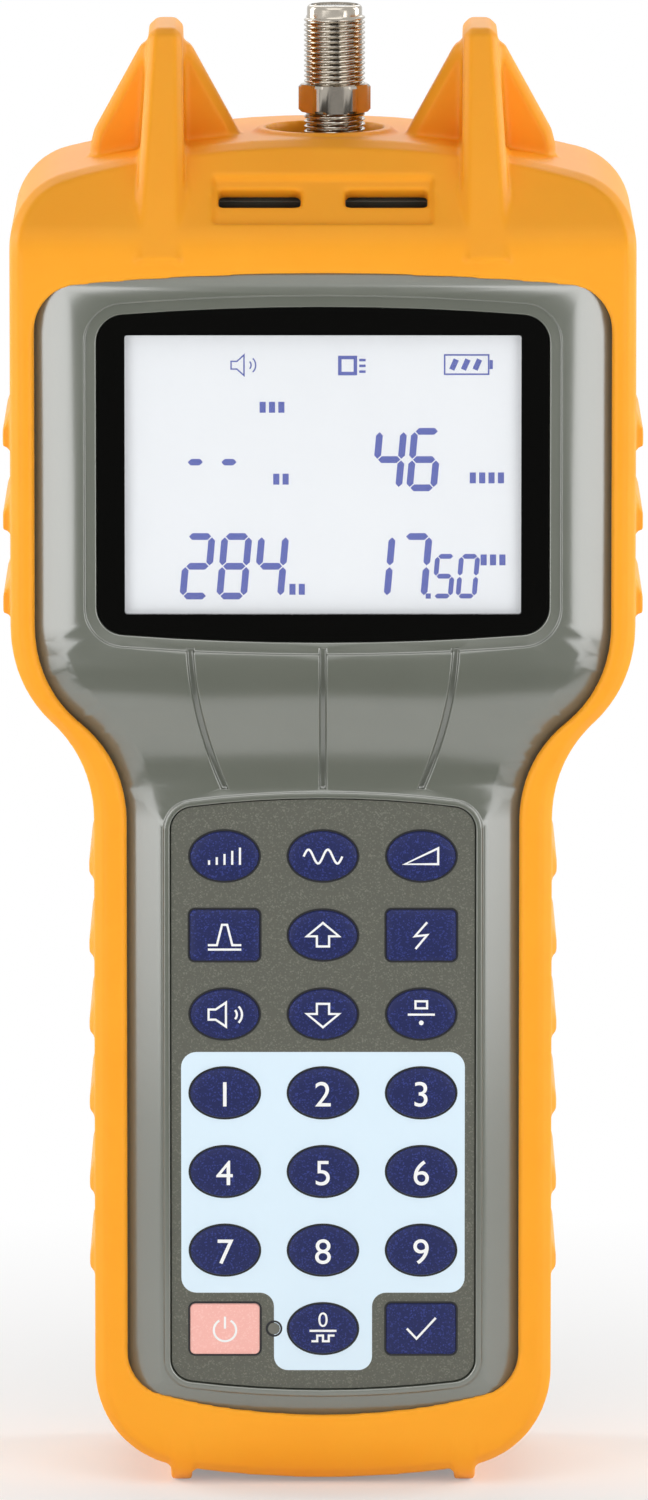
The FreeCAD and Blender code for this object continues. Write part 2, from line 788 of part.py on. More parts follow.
def sound_slots(name):
    """Two slots through the crown of the boot and the case behind it."""
    reach, rise = d.vent_height, d.vent_rise + d.slot_lift
    places = {"left": -d.slot_spacing / 2, "right": d.slot_spacing / 2}
    slots = [
        slope_box(f"{name}_{side}", place, rise, d.slot_width, d.slot_height, -reach, reach)
        for side, place in places.items()
    ]
    return group(name, *slots)


def rubber_boot(case_outer):
    ring = add("Part::Cone", "ring_bead")
    bind(ring, Radius1=d.ring_bore / 2 + d.ring_bead, Radius2=d.ring_bore / 2 + d.ring_bead - d.ring_slope)
    bind(ring, Height=d.ring_rise * 2)
    bind(ring, Placement_Base_x=d.ring_offset, Placement_Base_y=d.port_setback)
    bind(ring, Placement_Base_z=BOOT_TOP - d.ring_rise)
    fin, plate = horn()
    rib = foot()
    head_ridges = ridges(
        "head_ridge", BOOT_HEAD, d.head_ridge_rise, d.head_ridge_height,
        d.head_ridge_pitch, NECK_TOP + d.head_ridge_start, 3,
    )
    grip_ridges = ridges(
        "grip_ridge", BOOT_GRIP, d.grip_ridge_rise, d.grip_ridge_height,
        d.grip_ridge_pitch, CASE_BASE + d.grip_ridge_start, 6,
    )
    solid = fuse(
        "boot_solid", boot_form(), ring, rib, mirror("foot_left", rib),
        fin, plate, mirror("fin_left", fin), mirror("plate_left", plate), *head_ridges, *grip_ridges,
    )
    rear_opening = meter_outline(
        CASE_HEAD - d.rear_lip_overlap, CASE_GRIP - d.rear_lip_overlap,
        CASE_BASE + d.rear_lip_base, d.rear_lip_corner,
        CASE_TOP - d.rear_lip_top, d.rear_lip_corner, d.boot_base_arch, d.boot_top_arch,
    )
    return cut(
        "rubber_boot", solid,
        boot_hollow(), case_outer,
        front_pad("boot_rear_opening", rear_opening, BOOT_BACK + d.boot_back_wall, PARTING),
        upright("port_hole", d.ring_bore, d.ring_offset, d.port_setback, PANEL_TOP, BOOT_TOP * 2),
        slope_box(
            "vent_panel", 0.0, d.vent_rise, d.vent_width, d.vent_height, -d.vent_height, d.vent_depth,
        ),
        sound_slots("boot_slots"),
    )


# Case halves
BOSS_HEAD_X = CASE_HEAD - d.head_boss_inset
BOSS_HEAD_Z = CASE_TOP - d.head_boss_drop
BOSS_GRIP_X = CASE_GRIP - d.grip_boss_inset
BOSS_GRIP_Z = CASE_BASE + d.grip_boss_rise
BOSSES = [
    (side * x, z, front)
    for x, z, front in ((BOSS_HEAD_X, BOSS_HEAD_Z, HEAD_FRONT), (BOSS_GRIP_X, BOSS_GRIP_Z, GRIP_FRONT))
    for side in (-1, 1)
]
SCREW_SEAT = d.case_back - d.screw_sink_depth
BOSS_MEET = SCREW_SEAT - d.screw_clamp
PORT_SEAT = CASE_TOP - d.seat_drop
TRAY_HALF = d.cell_diameter * (CELLS_ACROSS / 2) + d.battery_gap
TRAY_LOW = CASE_BASE + d.tray_low
TRAY_TOP = TRAY_LOW + d.cell_length * CELLS_ALONG + d.battery_gap * 2
DOOR_HALF = TRAY_HALF + d.door_margin
DOOR_LOW = TRAY_LOW - d.door_margin
DOOR_SCREW = TRAY_TOP + d.tray_wall + d.door_screw_lift
DOOR_TOP = DOOR_SCREW + d.door_screw_margin
DOOR_BACK = d.case_back
DOOR_FRONT = DOOR_BACK - d.door_thickness


def case_skin():
    """The outer form of the case, eased at the back and sloped off all round its face."""
    body = case_form("case_outer", 0.0, 0.0)
    eased = chamfered("case_eased", body, rim_edges(body.Shape, ahead=False), d.case_rear_chamfer)
    doc.recompute()
    run, drop = float(d.case_edge_run), float(d.case_edge_drop)
    slopes = []
    for number in rim_edges(eased.Shape, ahead=True):
        first_face = eased.Shape.ancestorsOfType(eased.Shape.Edges[number - 1], Part.Face)[0]
        slopes.append((number, drop, run) if is_wall(first_face) else (number, run, drop))
    return add("Part::Chamfer", "case_sloped", Base=eased, Edges=slopes)


def port_hole(name):
    hole = d.port_diameter + d.port_clearance * 2
    return [
        upright(f"{name}_bore", hole, d.port_offset, d.port_setback, BEZEL_TOP, BOOT_TOP),
        upright(f"{name}_seat", d.seat_diameter, d.port_offset, d.port_setback, PORT_SEAT, BOOT_TOP),
    ]


def neck_grooves():
    """Three engraved grooves down the neck, cut to an even depth below the face."""
    low = float(PANEL_TOP + d.panel_gap + d.panel_rim_width + d.groove_gap)
    high = float(BEZEL_LOW + d.groove_width)
    half = float(d.groove_width) / 2
    front = HEAD_FRONT - d.groove_depth
    middle = front_pad("groove_middle", box_path(half, low, high), PARTING, front)
    top, bow, foot_x = float(d.groove_top_spread), float(d.groove_mid_spread), float(d.groove_low_spread)
    centre = (low + high) / 2
    path = [
        ("arc", (foot_x + half, low), (bow + half, centre), (top + half, high)),
        ("line", (top + half, high), (top - half, high)),
        ("arc", (top - half, high), (bow - half, centre), (foot_x - half, low)),
        ("line", (foot_x - half, low), (foot_x + half, low)),
    ]
    right = front_pad("groove_right", path, PARTING, front)
    floor = case_form("groove_floor", -d.groove_depth, -d.groove_depth)
    sides = group("groove_sides", right, mirror("groove_left", right))
    return [cut("middle_groove", middle, floor), cut("side_grooves", sides, floor)]


def front_case(case_outer, case_inner):
    reach = d.case_edge_run
    front_half = block(
        "front_half", -ACROSS, ACROSS, HEAD_FRONT - reach, PARTING, -CASE_BASE, BOOT_TOP,
    )
    skin = add("Part::Common", "front_skin", Base=case_outer, Tool=front_half)
    shell = cut("front_shell", skin, case_inner)
    rim_half = PANEL_HALF + d.panel_gap + d.panel_rim_width
    rim_grow = d.panel_gap + d.panel_rim_width
    rim = front_pad(
        "panel_rim",
        arched_panel(
            rim_half, PANEL_LOW - rim_grow, PANEL_TOP + rim_grow,
            d.panel_arch + rim_grow, d.panel_corner + rim_grow,
        ),
        GRIP_FRONT + d.panel_rim_rise, GRIP_FRONT - d.panel_rim_rise,
    )
    recess = front_pad(
        "panel_recess",
        arched_panel(
            PANEL_HALF + d.panel_gap, PANEL_LOW - d.panel_gap, PANEL_TOP + d.panel_gap,
            d.panel_arch + d.panel_gap, d.panel_corner + d.panel_gap,
        ),
        PANEL_BACK, HEAD_FRONT,
    )
    window_half = PANEL_HALF - d.panel_ledge
    window = block(
        "panel_window", -window_half, window_half, HEAD_FRONT, BOARD_FRONT,
        PANEL_LOW + d.panel_ledge, PANEL_TOP - d.panel_ledge,
    )
    bezel = front_pad(
        "bezel_recess",
        arched_panel(
            BEZEL_HALF, BEZEL_LOW, BEZEL_TOP, d.lens_arch + d.bezel_margin, d.lens_corner + d.bezel_margin,
        ),
        HEAD_FRONT + d.bezel_depth, HEAD_FRONT - d.bezel_depth,
    )
    pocket = front_pad(
        "lens_recess",
        arched_panel(
            LENS_HALF + d.lens_gap, LENS_LOW - d.lens_gap, LENS_TOP + d.lens_gap,
            d.lens_arch + d.lens_gap, d.lens_corner + d.lens_gap,
        ),
        LENS_BACK, HEAD_FRONT - d.bezel_depth,
    )
    view_half = d.view_width / 2 + d.view_margin
    view = block(
        "view_hole", -view_half, view_half, HEAD_FRONT, LCD_FRONT + d.case_wall,
        VIEW_LOW - d.view_margin, VIEW_TOP + d.view_margin,
    )
    posts = [
        inward(f"front_boss_{n}", d.boss_diameter, x, z, front + d.case_wall / 2, BOSS_MEET)
        for n, (x, z, front) in enumerate(BOSSES)
    ]
    pilots = [
        inward(
            f"pilot_{n}", d.screw_diameter + d.screw_clearance, x, z,
            BOSS_MEET - d.screw_bite - d.screw_clearance, BOSS_MEET,
        )
        for n, (x, z, front) in enumerate(BOSSES)
    ]
    body = fuse("front_body", shell, rim, *posts)
    return cut(
        "front_case", body, group("front_steps", recess, bezel), group("front_pockets", window, pocket),
        group("front_holes", view, *pilots), *neck_grooves(), sound_slots("case_slots"),
        *port_hole("front_port"),
    )


def door_tabs(name, grow):
    """The two hooks along the door's lower edge, or with a margin the slots they pass through."""
    low, high = DOOR_LOW - d.tab_reach, DOOR_LOW + d.door_margin
    back = REAR_WALL - d.tab_gap
    front = back - d.tab_thickness
    half = d.tab_width / 2 + grow
    stalk_low = DOOR_LOW + d.door_gap - grow * 2
    hooks, stalks = [], []
    for side in (-1, 1):
        left, right = d.tab_spacing * (side / 2) - half, d.tab_spacing * (side / 2) + half
        hooks.append(block(
            f"{name}_hook{side}", left, right, front - grow, back + grow, low - grow, high + grow,
        ))
        stalks.append(block(
            f"{name}_stalk{side}", left, right, front - grow, DOOR_FRONT, stalk_low, high + grow,
        ))
    return [group(f"{name}_hooks", *hooks), group(f"{name}_stalks", *stalks)]


def rear_case(case_outer, case_inner):
    reach = d.case_edge_run
    rear_half = block(
        "rear_half", -ACROSS, ACROSS, PARTING, d.case_back + reach, -CASE_BASE, BOOT_TOP,
    )
    skin = add("Part::Common", "rear_skin", Base=case_outer, Tool=rear_half)
    shell = cut("rear_shell", skin, case_inner)
    wall_middle = d.case_back - d.case_wall / 2
    posts = [
        inward(f"rear_boss_{n}", d.boss_diameter, x, z, BOSS_MEET, wall_middle)
        for n, (x, z, front) in enumerate(BOSSES)
    ]
    hole = d.screw_diameter + d.screw_clearance * 2
    holes = [
        inward(f"rear_hole_{n}", hole, x, z, BOSS_MEET, d.case_back)
        for n, (x, z, front) in enumerate(BOSSES)
    ]
    sink = d.screw_head + d.screw_head_clearance * 2
    sinks = [
        inward(f"rear_sink_{n}", sink, x, z, SCREW_SEAT, d.case_back + reach)
        for n, (x, z, front) in enumerate(BOSSES)
    ]
    tray_half = TRAY_HALF + d.tray_wall
    tray = block(
        "tray_block", -tray_half, tray_half, TRAY_FLOOR - d.tray_wall, wall_middle,
        TRAY_LOW - d.tray_wall, TRAY_TOP + d.tray_wall,
    )
    tray_room = block(
        "tray_room", -TRAY_HALF, TRAY_HALF, TRAY_FLOOR, d.case_back + reach, TRAY_LOW, TRAY_TOP,
    )
    door_room = block(
        "door_room", -DOOR_HALF - d.door_gap, DOOR_HALF + d.door_gap, DOOR_FRONT, d.case_back + reach,
        DOOR_LOW - d.door_gap, DOOR_TOP + d.door_gap,
    )
    pilot_front = DOOR_FRONT - d.door_screw_depth
    door_boss = inward(
        "door_boss", d.boss_diameter, 0.0, DOOR_SCREW, pilot_front - d.tray_wall, wall_middle,
    )
    pilot = d.screw_diameter + d.screw_clearance
    door_pilot = inward("door_pilot", pilot, 0.0, DOOR_SCREW, pilot_front, d.case_back)
    body = fuse("rear_body", shell, tray, door_boss, *posts)
    return cut(
        "rear_case", body, tray_room, door_room, *door_tabs("tab_slot", d.tab_gap),
        group("rear_holes", door_pilot, *holes), group("rear_sinks", *sinks), *port_hole("rear_port"),
    )


def battery_door():
    plate = block("door_plate", -DOOR_HALF, DOOR_HALF, DOOR_FRONT, DOOR_BACK, DOOR_LOW, DOOR_TOP)
    body = fuse("door_body", plate, *door_tabs("door_tab", 0.0))
    hole = inward(
        "door_hole", d.screw_diameter + d.screw_clearance * 2, 0.0, DOOR_SCREW,
        REAR_WALL, DOOR_BACK + d.case_wall,
    )
    return cut("battery_door", body, hole)


def screw(name, x, z, seat, length):
    """A pan-head screw driven in from the back."""
    shank = inward(f"{name}_shank", d.screw_diameter, x, z, seat - length, seat)
    head = inward(f"{name}_head", d.screw_head, x, z, seat, seat + d.screw_head_height)
    return fuse(name, shank, head)


def case_screws():
    length = d.screw_clamp + d.screw_bite
    screws = [screw(f"case_screw_{n}", x, z, SCREW_SEAT, length) for n, (x, z, front) in enumerate(BOSSES)]
    return group("case_screws", *screws)


def door_screw():
    length = d.door_thickness + d.door_screw_depth - d.screw_clearance
    return screw("door_screw", 0.0, DOOR_SCREW, DOOR_BACK, length)


def battery_pack():
    """Six cells in one wrap, as a long block with half-round sides."""
    radius = float(d.cell_diameter) / 2
    run = radius * (CELLS_ACROSS - 1)
    middle = float(BATTERY_FRONT) + radius
    path = [
        ("line", (-run, middle - radius), (run, middle - radius)),
        ("arc", (run, middle - radius), (run + radius, middle), (run, middle + radius)),
        ("line", (run, middle + radius), (-run, middle + radius)),
        ("arc", (-run, middle + radius), (-run - radius, middle), (-run, middle - radius)),
    ]
    body = doc.addObject("PartDesign::Body", "battery_pack")
    sketch = sketch_on(body, "XY_Plane", "battery_outline", path, TRAY_LOW + d.battery_gap)
    pad = body.newObject("PartDesign::Pad", "battery_pad")
    pad.Profile = sketch
    bind(pad, Length=d.cell_length * CELLS_ALONG)
    return body


# Display
def display_window():
    outline = arched_panel(LENS_HALF, LENS_LOW, LENS_TOP, d.lens_arch, d.lens_corner)
    return front_pad("display_window", outline, LENS_BACK, LENS_BACK - d.lens_thickness)


LCD_HALF = d.view_width / 2 + d.lcd_border
LCD_LOW = VIEW_LOW - d.lcd_border
LCD_TOP = VIEW_TOP + d.lcd_border
LCD_BACK = LCD_FRONT + d.lcd_thickness


def lcd_pieces():
    low, high = LCD_LOW + d.zebra_height, LCD_TOP - d.zebra_height
    panel = block("lcd_panel", -LCD_HALF, LCD_HALF, LCD_FRONT, LCD_BACK, LCD_LOW, LCD_TOP)
    backlight = block("lcd_backlight", -LCD_HALF, LCD_HALF, LCD_BACK, BOARD_FRONT, low, high)
    strips = [
        block("zebra_low", -LCD_HALF, LCD_HALF, LCD_BACK, BOARD_FRONT, LCD_LOW, low),
        block("zebra_top", -LCD_HALF, LCD_HALF, LCD_BACK, BOARD_FRONT, high, LCD_TOP),
    ]
    return [panel, backlight, group("contact_strips", *strips)]


# Keypad
def key_place(row, column):
    return (column - 1) * d.key_pitch_across, TOP_ROW - d.key_pitch_up * row


def key_outline(name, x, z, grow):
    """An oval or a rounded square, in front view, round one key's place."""
    x, z, grow = float(x), float(z), float(grow)
    if name not in SQUARE_KEYS:
        half_wide, half_high = float(d.key_width) / 2 + grow, float(d.key_height) / 2 + grow
        turns = [2 * math.pi * step / OVAL_SIDES for step in range(OVAL_SIDES)]
        return drawn(polygon([
            (x + half_wide * math.cos(turn), z + half_high * math.sin(turn)) for turn in turns
        ]))
    half_wide, half_high = float(d.square_key_width) / 2 + grow, float(d.square_key_height) / 2 + grow
    nip = float(d.square_key_corner) + grow
    right = [(half_wide - nip, -half_high), (half_wide, nip - half_high),
             (half_wide, half_high - nip), (half_wide - nip, half_high)]
    left = [(-u, v) for u, v in reversed(right)]
    return drawn(polygon([(x + u, z + v) for u, v in right + left]))


def keypad_panel():
    """The rigid face of the keypad, with a hole for each key and one for the lamp."""
    outline = drawn(arched_panel(PANEL_HALF, PANEL_LOW, PANEL_TOP, d.panel_arch, d.panel_corner))
    for row, names in enumerate(KEY_ROWS):
        for column, name in enumerate(names):
            outline += key_outline(name, *key_place(row, column), d.key_gap)
    lamp = Vector(-float(d.led_offset), float(LOW_ROW), 0)
    outline.append(Part.Circle(lamp, Vector(0, 0, 1), float(d.led_hole) / 2))
    body = doc.addObject("PartDesign::Body", "keypad_panel")
    sketch = sketch_on(body, "XZ_Plane", "keypad_panel_outline", outline, -PANEL_BACK)
    pad = body.newObject("PartDesign::Pad", "keypad_panel_pad")
    pad.Profile = sketch
    bind(pad, Length=d.panel_thickness)
    return body


def key(name, row, column):
    """A key cap on the flange that keeps it behind the panel."""
    x, z = key_place(row, column)
    square = name in SQUARE_KEYS
    half_wide = (d.square_key_width if square else d.key_width) / 2 + d.key_flange
    half_high = (d.square_key_height if square else d.key_height) / 2 + d.key_flange
    body = doc.addObject("PartDesign::Body", name)
    cap_sketch = sketch_on(body, "XZ_Plane", f"{name}_cap", key_outline(name, x, z, 0.0), -FLANGE_BACK)
    cap = body.newObject("PartDesign::Pad", f"{name}_cap_pad")
    cap.Profile = cap_sketch
    bind(cap, Length=FLANGE_BACK - KEY_FRONT)
    x, z, half_wide, half_high = float(x), float(z), float(half_wide), float(half_high)
    frame = polygon([
        (x - half_wide, z - half_high), (x + half_wide, z - half_high),
        (x + half_wide, z + half_high), (x - half_wide, z + half_high),
    ])
    flange_sketch = sketch_on(body, "XZ_Plane", f"{name}_flange", frame, -FLANGE_BACK)
    flange = body.newObject("PartDesign::Pad", f"{name}_flange_pad")
    flange.Profile = flange_sketch
    bind(flange, Length=d.key_flange_thickness)
    return body


def tact_switches():
    half = d.switch_size / 2
    switches = []
    for row, names in enumerate(KEY_ROWS):
        for column, name in enumerate(names):
            x, z = key_place(row, column)
            switches.append(block(
                f"{name}_switch", x - half, x + half, SWITCH_FRONT, BOARD_FRONT, z - half, z + half,
            ))
    return group("tact_switches", *switches)


# Board and the pieces on it
def main_board():
    clear = d.boss_diameter / 2 + d.boss_gap
    grip = float(CASE_GRIP - d.case_side_wall - d.board_inset)
    head = float(BOSS_HEAD_X - clear)
    low, high = float(BOSS_GRIP_Z + clear), float(CASE_TOP - d.board_top_drop)
    neck_low, neck_top = (grip, float(NECK_LOW)), (head, float(NECK_TOP))
    side = [("line", (grip, low), neck_low), *s_bend(neck_low, neck_top), ("line", neck_top, (head, high))]
    path = side + [("line", (head, high), (-head, high))] + mirrored(side)
    path.append(("line", (-grip, low), (grip, low)))
    return front_pad("main_board", path, BOARD_BACK, BOARD_FRONT)


def power_lamp():
    front = PANEL_FRONT - d.led_rise
    return inward("power_lamp", d.led_diameter, -d.led_offset, LOW_ROW, front, BOARD_FRONT)


TUNER_TOP = CASE_TOP - d.tuner_top_drop


def tuner_can():
    half = d.tuner_width / 2
    return block(
        "tuner_can", d.port_offset - half, d.port_offset + half, BOARD_BACK, BOARD_BACK + d.tuner_depth,
        TUNER_TOP - d.tuner_height, TUNER_TOP,
    )


def speaker():
    """A flat loudspeaker against the inside of the crown's slope, behind the sound slots."""
    case_start_y = HEAD_FRONT + d.case_crown_radius * (1 - math.cos(CROWN))
    case_start_z = CROWN_LOW + d.case_crown_radius * math.sin(CROWN)
    boot_start_y = LIP_HEAD + d.boot_crown_radius * (1 - math.cos(CROWN))
    boot_start_z = BOOT_CROWN_LOW + d.boot_crown_radius * math.sin(CROWN)
    skin = (case_start_y - boot_start_y) * math.cos(CROWN) - (case_start_z - boot_start_z) * math.sin(CROWN)
    front = skin + d.case_wall
    return slope_box(
        "speaker", 0.0, d.vent_rise - d.speaker_drop, d.speaker_length, d.speaker_width,
        front, front + d.speaker_depth,
    )


# Cable socket
def prism(name, sides, diameter, low, high):
    """A straight prism on the socket's axis, measured across its corners."""
    solid = add("Part::Prism", name, Polygon=sides)
    bind(solid, Circumradius=diameter / 2, Height=high - low)
    bind(solid, Placement_Base_x=d.port_offset, Placement_Base_y=d.port_setback, Placement_Base_z=low)
    return solid


HEX_SIDES = 6
HEX_CORNERS = 2 / math.sqrt(3)
PORT_TOP = CASE_TOP + d.port_reach
HEX_LOW = CASE_TOP + d.hex_lift


def port_barrel():
    """The threaded barrel with its hexagon, turned from bar and bored for the insulator."""
    at = (d.port_offset, d.port_setback)
    barrel = upright("port_blank", d.port_diameter, *at, TUNER_TOP, PORT_TOP)
    doc.recompute()
    top_edge = [
        number
        for number, edge in enumerate(barrel.Shape.Edges, start=1)
        if edge.BoundBox.ZMin > float(PORT_TOP) - 1e-6
    ]
    nosed = chamfered("port_nosed", barrel, top_edge, d.port_nose_chamfer)
    hexed = prism("port_hexagon", HEX_SIDES, d.hex_flats * HEX_CORNERS, HEX_LOW, HEX_LOW + d.hex_height)
    bore_low = PORT_TOP - d.port_bore_depth
    bore = upright("port_bore_tool", d.port_bore, *at, bore_low, PORT_TOP + d.nut_height)
    return cut("port_barrel", fuse("port_body", nosed, hexed), bore)


def port_insulator():
    low, high = PORT_TOP - d.port_bore_depth, PORT_TOP - d.insulator_recess
    plug = prism("insulator_plug", ROUND_SIDES, d.port_bore, low, high)
    hole = prism("insulator_hole", ROUND_SIDES, d.contact_diameter, low, high)
    return cut("port_insulator", plug, hole)


def port_contact():
    low, high = PORT_TOP - d.port_bore_depth, PORT_TOP - d.contact_recess
    tube = prism("contact_tube", ROUND_SIDES, d.contact_diameter, low, high)
    hole = prism("contact_hole", ROUND_SIDES, d.contact_bore, low + d.contact_recess, high)
    return cut("port_contact", tube, hole)


def port_nut():
    low, high = PORT_SEAT, PORT_SEAT + d.nut_height
    blank = prism("nut_blank", HEX_SIDES, d.nut_flats * HEX_CORNERS, low, high)
    hole = upright("nut_hole", d.port_diameter, d.port_offset, d.port_setback, low, high)
    return cut("port_nut", blank, hole)


case_outer = case_skin()
case_inner = case_form("case_inner", -d.case_side_wall, -d.case_wall)
pieces = [
    rubber_boot(case_outer), front_case(case_outer, case_inner), rear_case(case_outer, case_inner),
    battery_door(), door_screw(), case_screws(), battery_pack(),
    display_window(), *lcd_pieces(), keypad_panel(), tact_switches(), main_board(), power_lamp(),
    tuner_can(), speaker(), port_barrel(), port_insulator(), port_contact(), port_nut(),
]
for row, names in enumerate(KEY_ROWS):
    for column, name in enumerate(names):
        pieces.append(key(name, row, column))
doc.recompute()

for thing in doc.Objects:
    if "Invalid" in thing.State or "Error" in thing.State:
        raise ValueError(f"{thing.Label} failed: {thing.State}")
for piece in pieces:
    if piece.Shape.isNull() or not piece.Shape.isValid() or not piece.Shape.Solids:
        raise ValueError(f"{piece.Label} has no valid shape")

os.makedirs("parts", exist_ok=True)
for piece in pieces:
    piece.Shape.exportStep(f"parts/{piece.Label}.step")
    print(piece.Label, len(piece.Shape.Solids), round(piece.Shape.Volume, 1))
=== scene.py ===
# %% [markdown]
# # A hand-held signal level meter
# The meter is a grey plastic case with a display head and a keypad grip, pushed into an orange rubber boot.
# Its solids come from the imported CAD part, which sets every size and every joint. This lesson dresses them:
# it softens the rubber, domes the keys, cuts the thread of the port and gives each piece its real finish.

# %% Load the frame
import math

import bmesh
import bpy
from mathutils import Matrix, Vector
from mathutils.geometry import tessellate_polygon


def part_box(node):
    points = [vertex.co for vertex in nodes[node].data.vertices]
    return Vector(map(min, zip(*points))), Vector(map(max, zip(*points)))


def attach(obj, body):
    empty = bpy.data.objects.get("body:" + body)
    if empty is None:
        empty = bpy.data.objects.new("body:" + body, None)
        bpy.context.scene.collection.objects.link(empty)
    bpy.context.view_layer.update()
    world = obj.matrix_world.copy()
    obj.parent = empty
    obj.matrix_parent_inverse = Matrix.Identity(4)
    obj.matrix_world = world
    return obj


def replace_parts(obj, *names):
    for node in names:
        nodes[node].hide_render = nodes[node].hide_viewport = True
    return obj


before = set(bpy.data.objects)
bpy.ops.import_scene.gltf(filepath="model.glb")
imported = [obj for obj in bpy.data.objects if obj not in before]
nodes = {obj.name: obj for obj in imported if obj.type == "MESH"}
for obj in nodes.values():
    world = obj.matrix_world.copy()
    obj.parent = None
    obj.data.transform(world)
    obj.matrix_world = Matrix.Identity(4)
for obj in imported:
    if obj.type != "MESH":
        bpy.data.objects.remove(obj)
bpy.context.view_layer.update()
MM = 0.001

# %% [markdown]
# ## Small helpers
# Colours are written as sRGB hex values, as on a paint chart, and turned to linear light in one place.
# A pattern is set by the real size of its grain, and one function adds a node, sets it and wires it.


# %% Colours and nodes
GRAIN_DETAIL, MOTTLE_DETAIL = 3.0, 4.0


def colour(code):
    """Linear RGBA of an sRGB hex value."""
    shares = [int(code[start:start + 2], 16) / 255 for start in (0, 2, 4)]
    lit = [share / 12.92 if share <= 0.04045 else ((share + 0.055) / 1.055) ** 2.4 for share in shares]
    return (*lit, 1.0)


def per_metre(grain_mm):
    """Texture scale at which one grain is so many millimetres wide."""
    return 1 / (grain_mm * MM)


def add_node(tree, kind, inputs=None, **settings):
    """Add a node, set its options, and set or link its inputs."""
    made = tree.nodes.new(kind)
    for name, value in settings.items():
        setattr(made, name, value)
    for name, value in (inputs or {}).items():
        if isinstance(value, bpy.types.NodeSocket):
            tree.links.new(value, made.inputs[name])
        else:
            made.inputs[name].default_value = value
    return made


def start_finish(name, sockets):
    """A new material with constants on its shader, and its tree, shader and object coordinates."""
    made = bpy.data.materials.new(name)
    made.use_nodes = True
    tree = made.node_tree
    shader = tree.nodes["Principled BSDF"]
    for socket, value in sockets.items():
        shader.inputs[socket].default_value = value
    place = add_node(tree, "ShaderNodeTexCoord").outputs["Object"]
    return made, tree, shader, place


def noise_at(tree, place, lump_mm, detail):
    """Noise with lumps of a real size."""
    inputs = {"Vector": place, "Scale": per_metre(lump_mm), "Detail": detail}
    return add_node(tree, "ShaderNodeTexNoise", inputs)


def grain(tree, shader, place, grain_mm, depth_mm, strength):
    """A fine bump all over a moulded or plated surface."""
    noise = noise_at(tree, place, grain_mm, GRAIN_DETAIL)
    bump = add_node(
        tree, "ShaderNodeBump",
        {"Height": noise.outputs["Fac"], "Strength": strength, "Distance": depth_mm * MM},
    )
    tree.links.new(bump.outputs["Normal"], shader.inputs["Normal"])


def mottle(tree, shader, place, patch_mm, dark, light):
    """Slow changes of shade between two near colours."""
    noise = noise_at(tree, place, patch_mm, MOTTLE_DETAIL)
    ramp = add_node(tree, "ShaderNodeValToRGB", {"Fac": noise.outputs["Fac"]})
    ramp.color_ramp.elements[0].color = colour(dark)
    ramp.color_ramp.elements[1].color = colour(light)
    tree.links.new(ramp.outputs["Color"], shader.inputs["Base Color"])


# %% [markdown]
# ## Silicone rubber
# The boot is moulded silicone: even and saturated, with a faint bloom in its grain that dulls the shine.
# Light gets a little way into it, so its edges glow; a small subsurface share gives that.


# %% Boot rubber
def silicone_rubber():
    made, tree, shader, place = start_finish("silicone_rubber", {
        "Roughness": 0.46, "Specular IOR Level": 0.25, "Subsurface Weight": 0.12,
        "Subsurface Scale": 1.5 * MM, "Subsurface Radius": (1.0, 0.45, 0.15),
    })
    mottle(tree, shader, place, 14.0, "fca31e", "ffac28")
    grain(tree, shader, place, 0.5, 0.02, 0.25)
    return made


# %% [markdown]
# ## Moulded ABS
# The case halves are grey ABS out of a spark-eroded mould, so a fine even texture softens the shine.
# A thin pearl lacquer over it shines more than bare plastic, and draws long highlights down the flanks.


# %% Case plastic
def moulded_abs(name, dark, light, roughness, lacquer=0.0):
    made, tree, shader, place = start_finish(name, {
        "Roughness": roughness, "IOR": 1.53, "Coat Weight": lacquer, "Coat Roughness": 0.2, "Coat IOR": 1.95,
    })
    mottle(tree, shader, place, 9.0, dark, light)
    grain(tree, shader, place, 0.45, 0.03, 0.35)
    return made


# %% [markdown]
# ## Printed polyester film
# The keypad overlay and the key tops are printed film with metal flakes in the ink.
# The flakes are drawn a few tenths of a millimetre wide, coarser than the real ones, so that they show.


# %% Flake ink
def flake_film(name, base, flake, flake_mm, share, roughness):
    made, tree, shader, place = start_finish(name, {"Roughness": roughness, "Specular IOR Level": 0.3})
    cells = add_node(tree, "ShaderNodeTexVoronoi", {"Vector": place, "Scale": per_metre(flake_mm)})
    pick = add_node(tree, "ShaderNodeSeparateColor", {"Color": cells.outputs["Color"]})
    ramp = add_node(tree, "ShaderNodeValToRGB", {"Fac": pick.outputs["Red"]})
    ramp.color_ramp.elements[0].position = 1 - share
    ramp.color_ramp.elements[0].color = colour(base)
    ramp.color_ramp.elements[1].color = colour(flake)
    tree.links.new(ramp.outputs["Color"], shader.inputs["Base Color"])
    grain(tree, shader, place, 0.3, 0.01, 0.2)
    return made


def screen_ink(name, code, roughness):
    """Opaque ink laid down through a screen, with a trace of its mesh."""
    made, tree, shader, place = start_finish(name, {"Base Color": colour(code), "Roughness": roughness})
    grain(tree, shader, place, 0.2, 0.004, 0.2)
    return made


# %% [markdown]
# ## Acrylic and display glass
# The window is polished acrylic, black on its back except over the display, where it is clear.
# The display behind it is a pale, slightly matt liquid-crystal cell with a dim light behind it.


# %% Window and display
def polished_acrylic():
    made, tree, shader, place = start_finish("black_acrylic", {
        "Base Color": colour("0b0b0a"), "Roughness": 0.09, "IOR": 1.49, "Specular IOR Level": 0.12,
    })
    grain(tree, shader, place, 6.0, 0.004, 0.1)
    return made


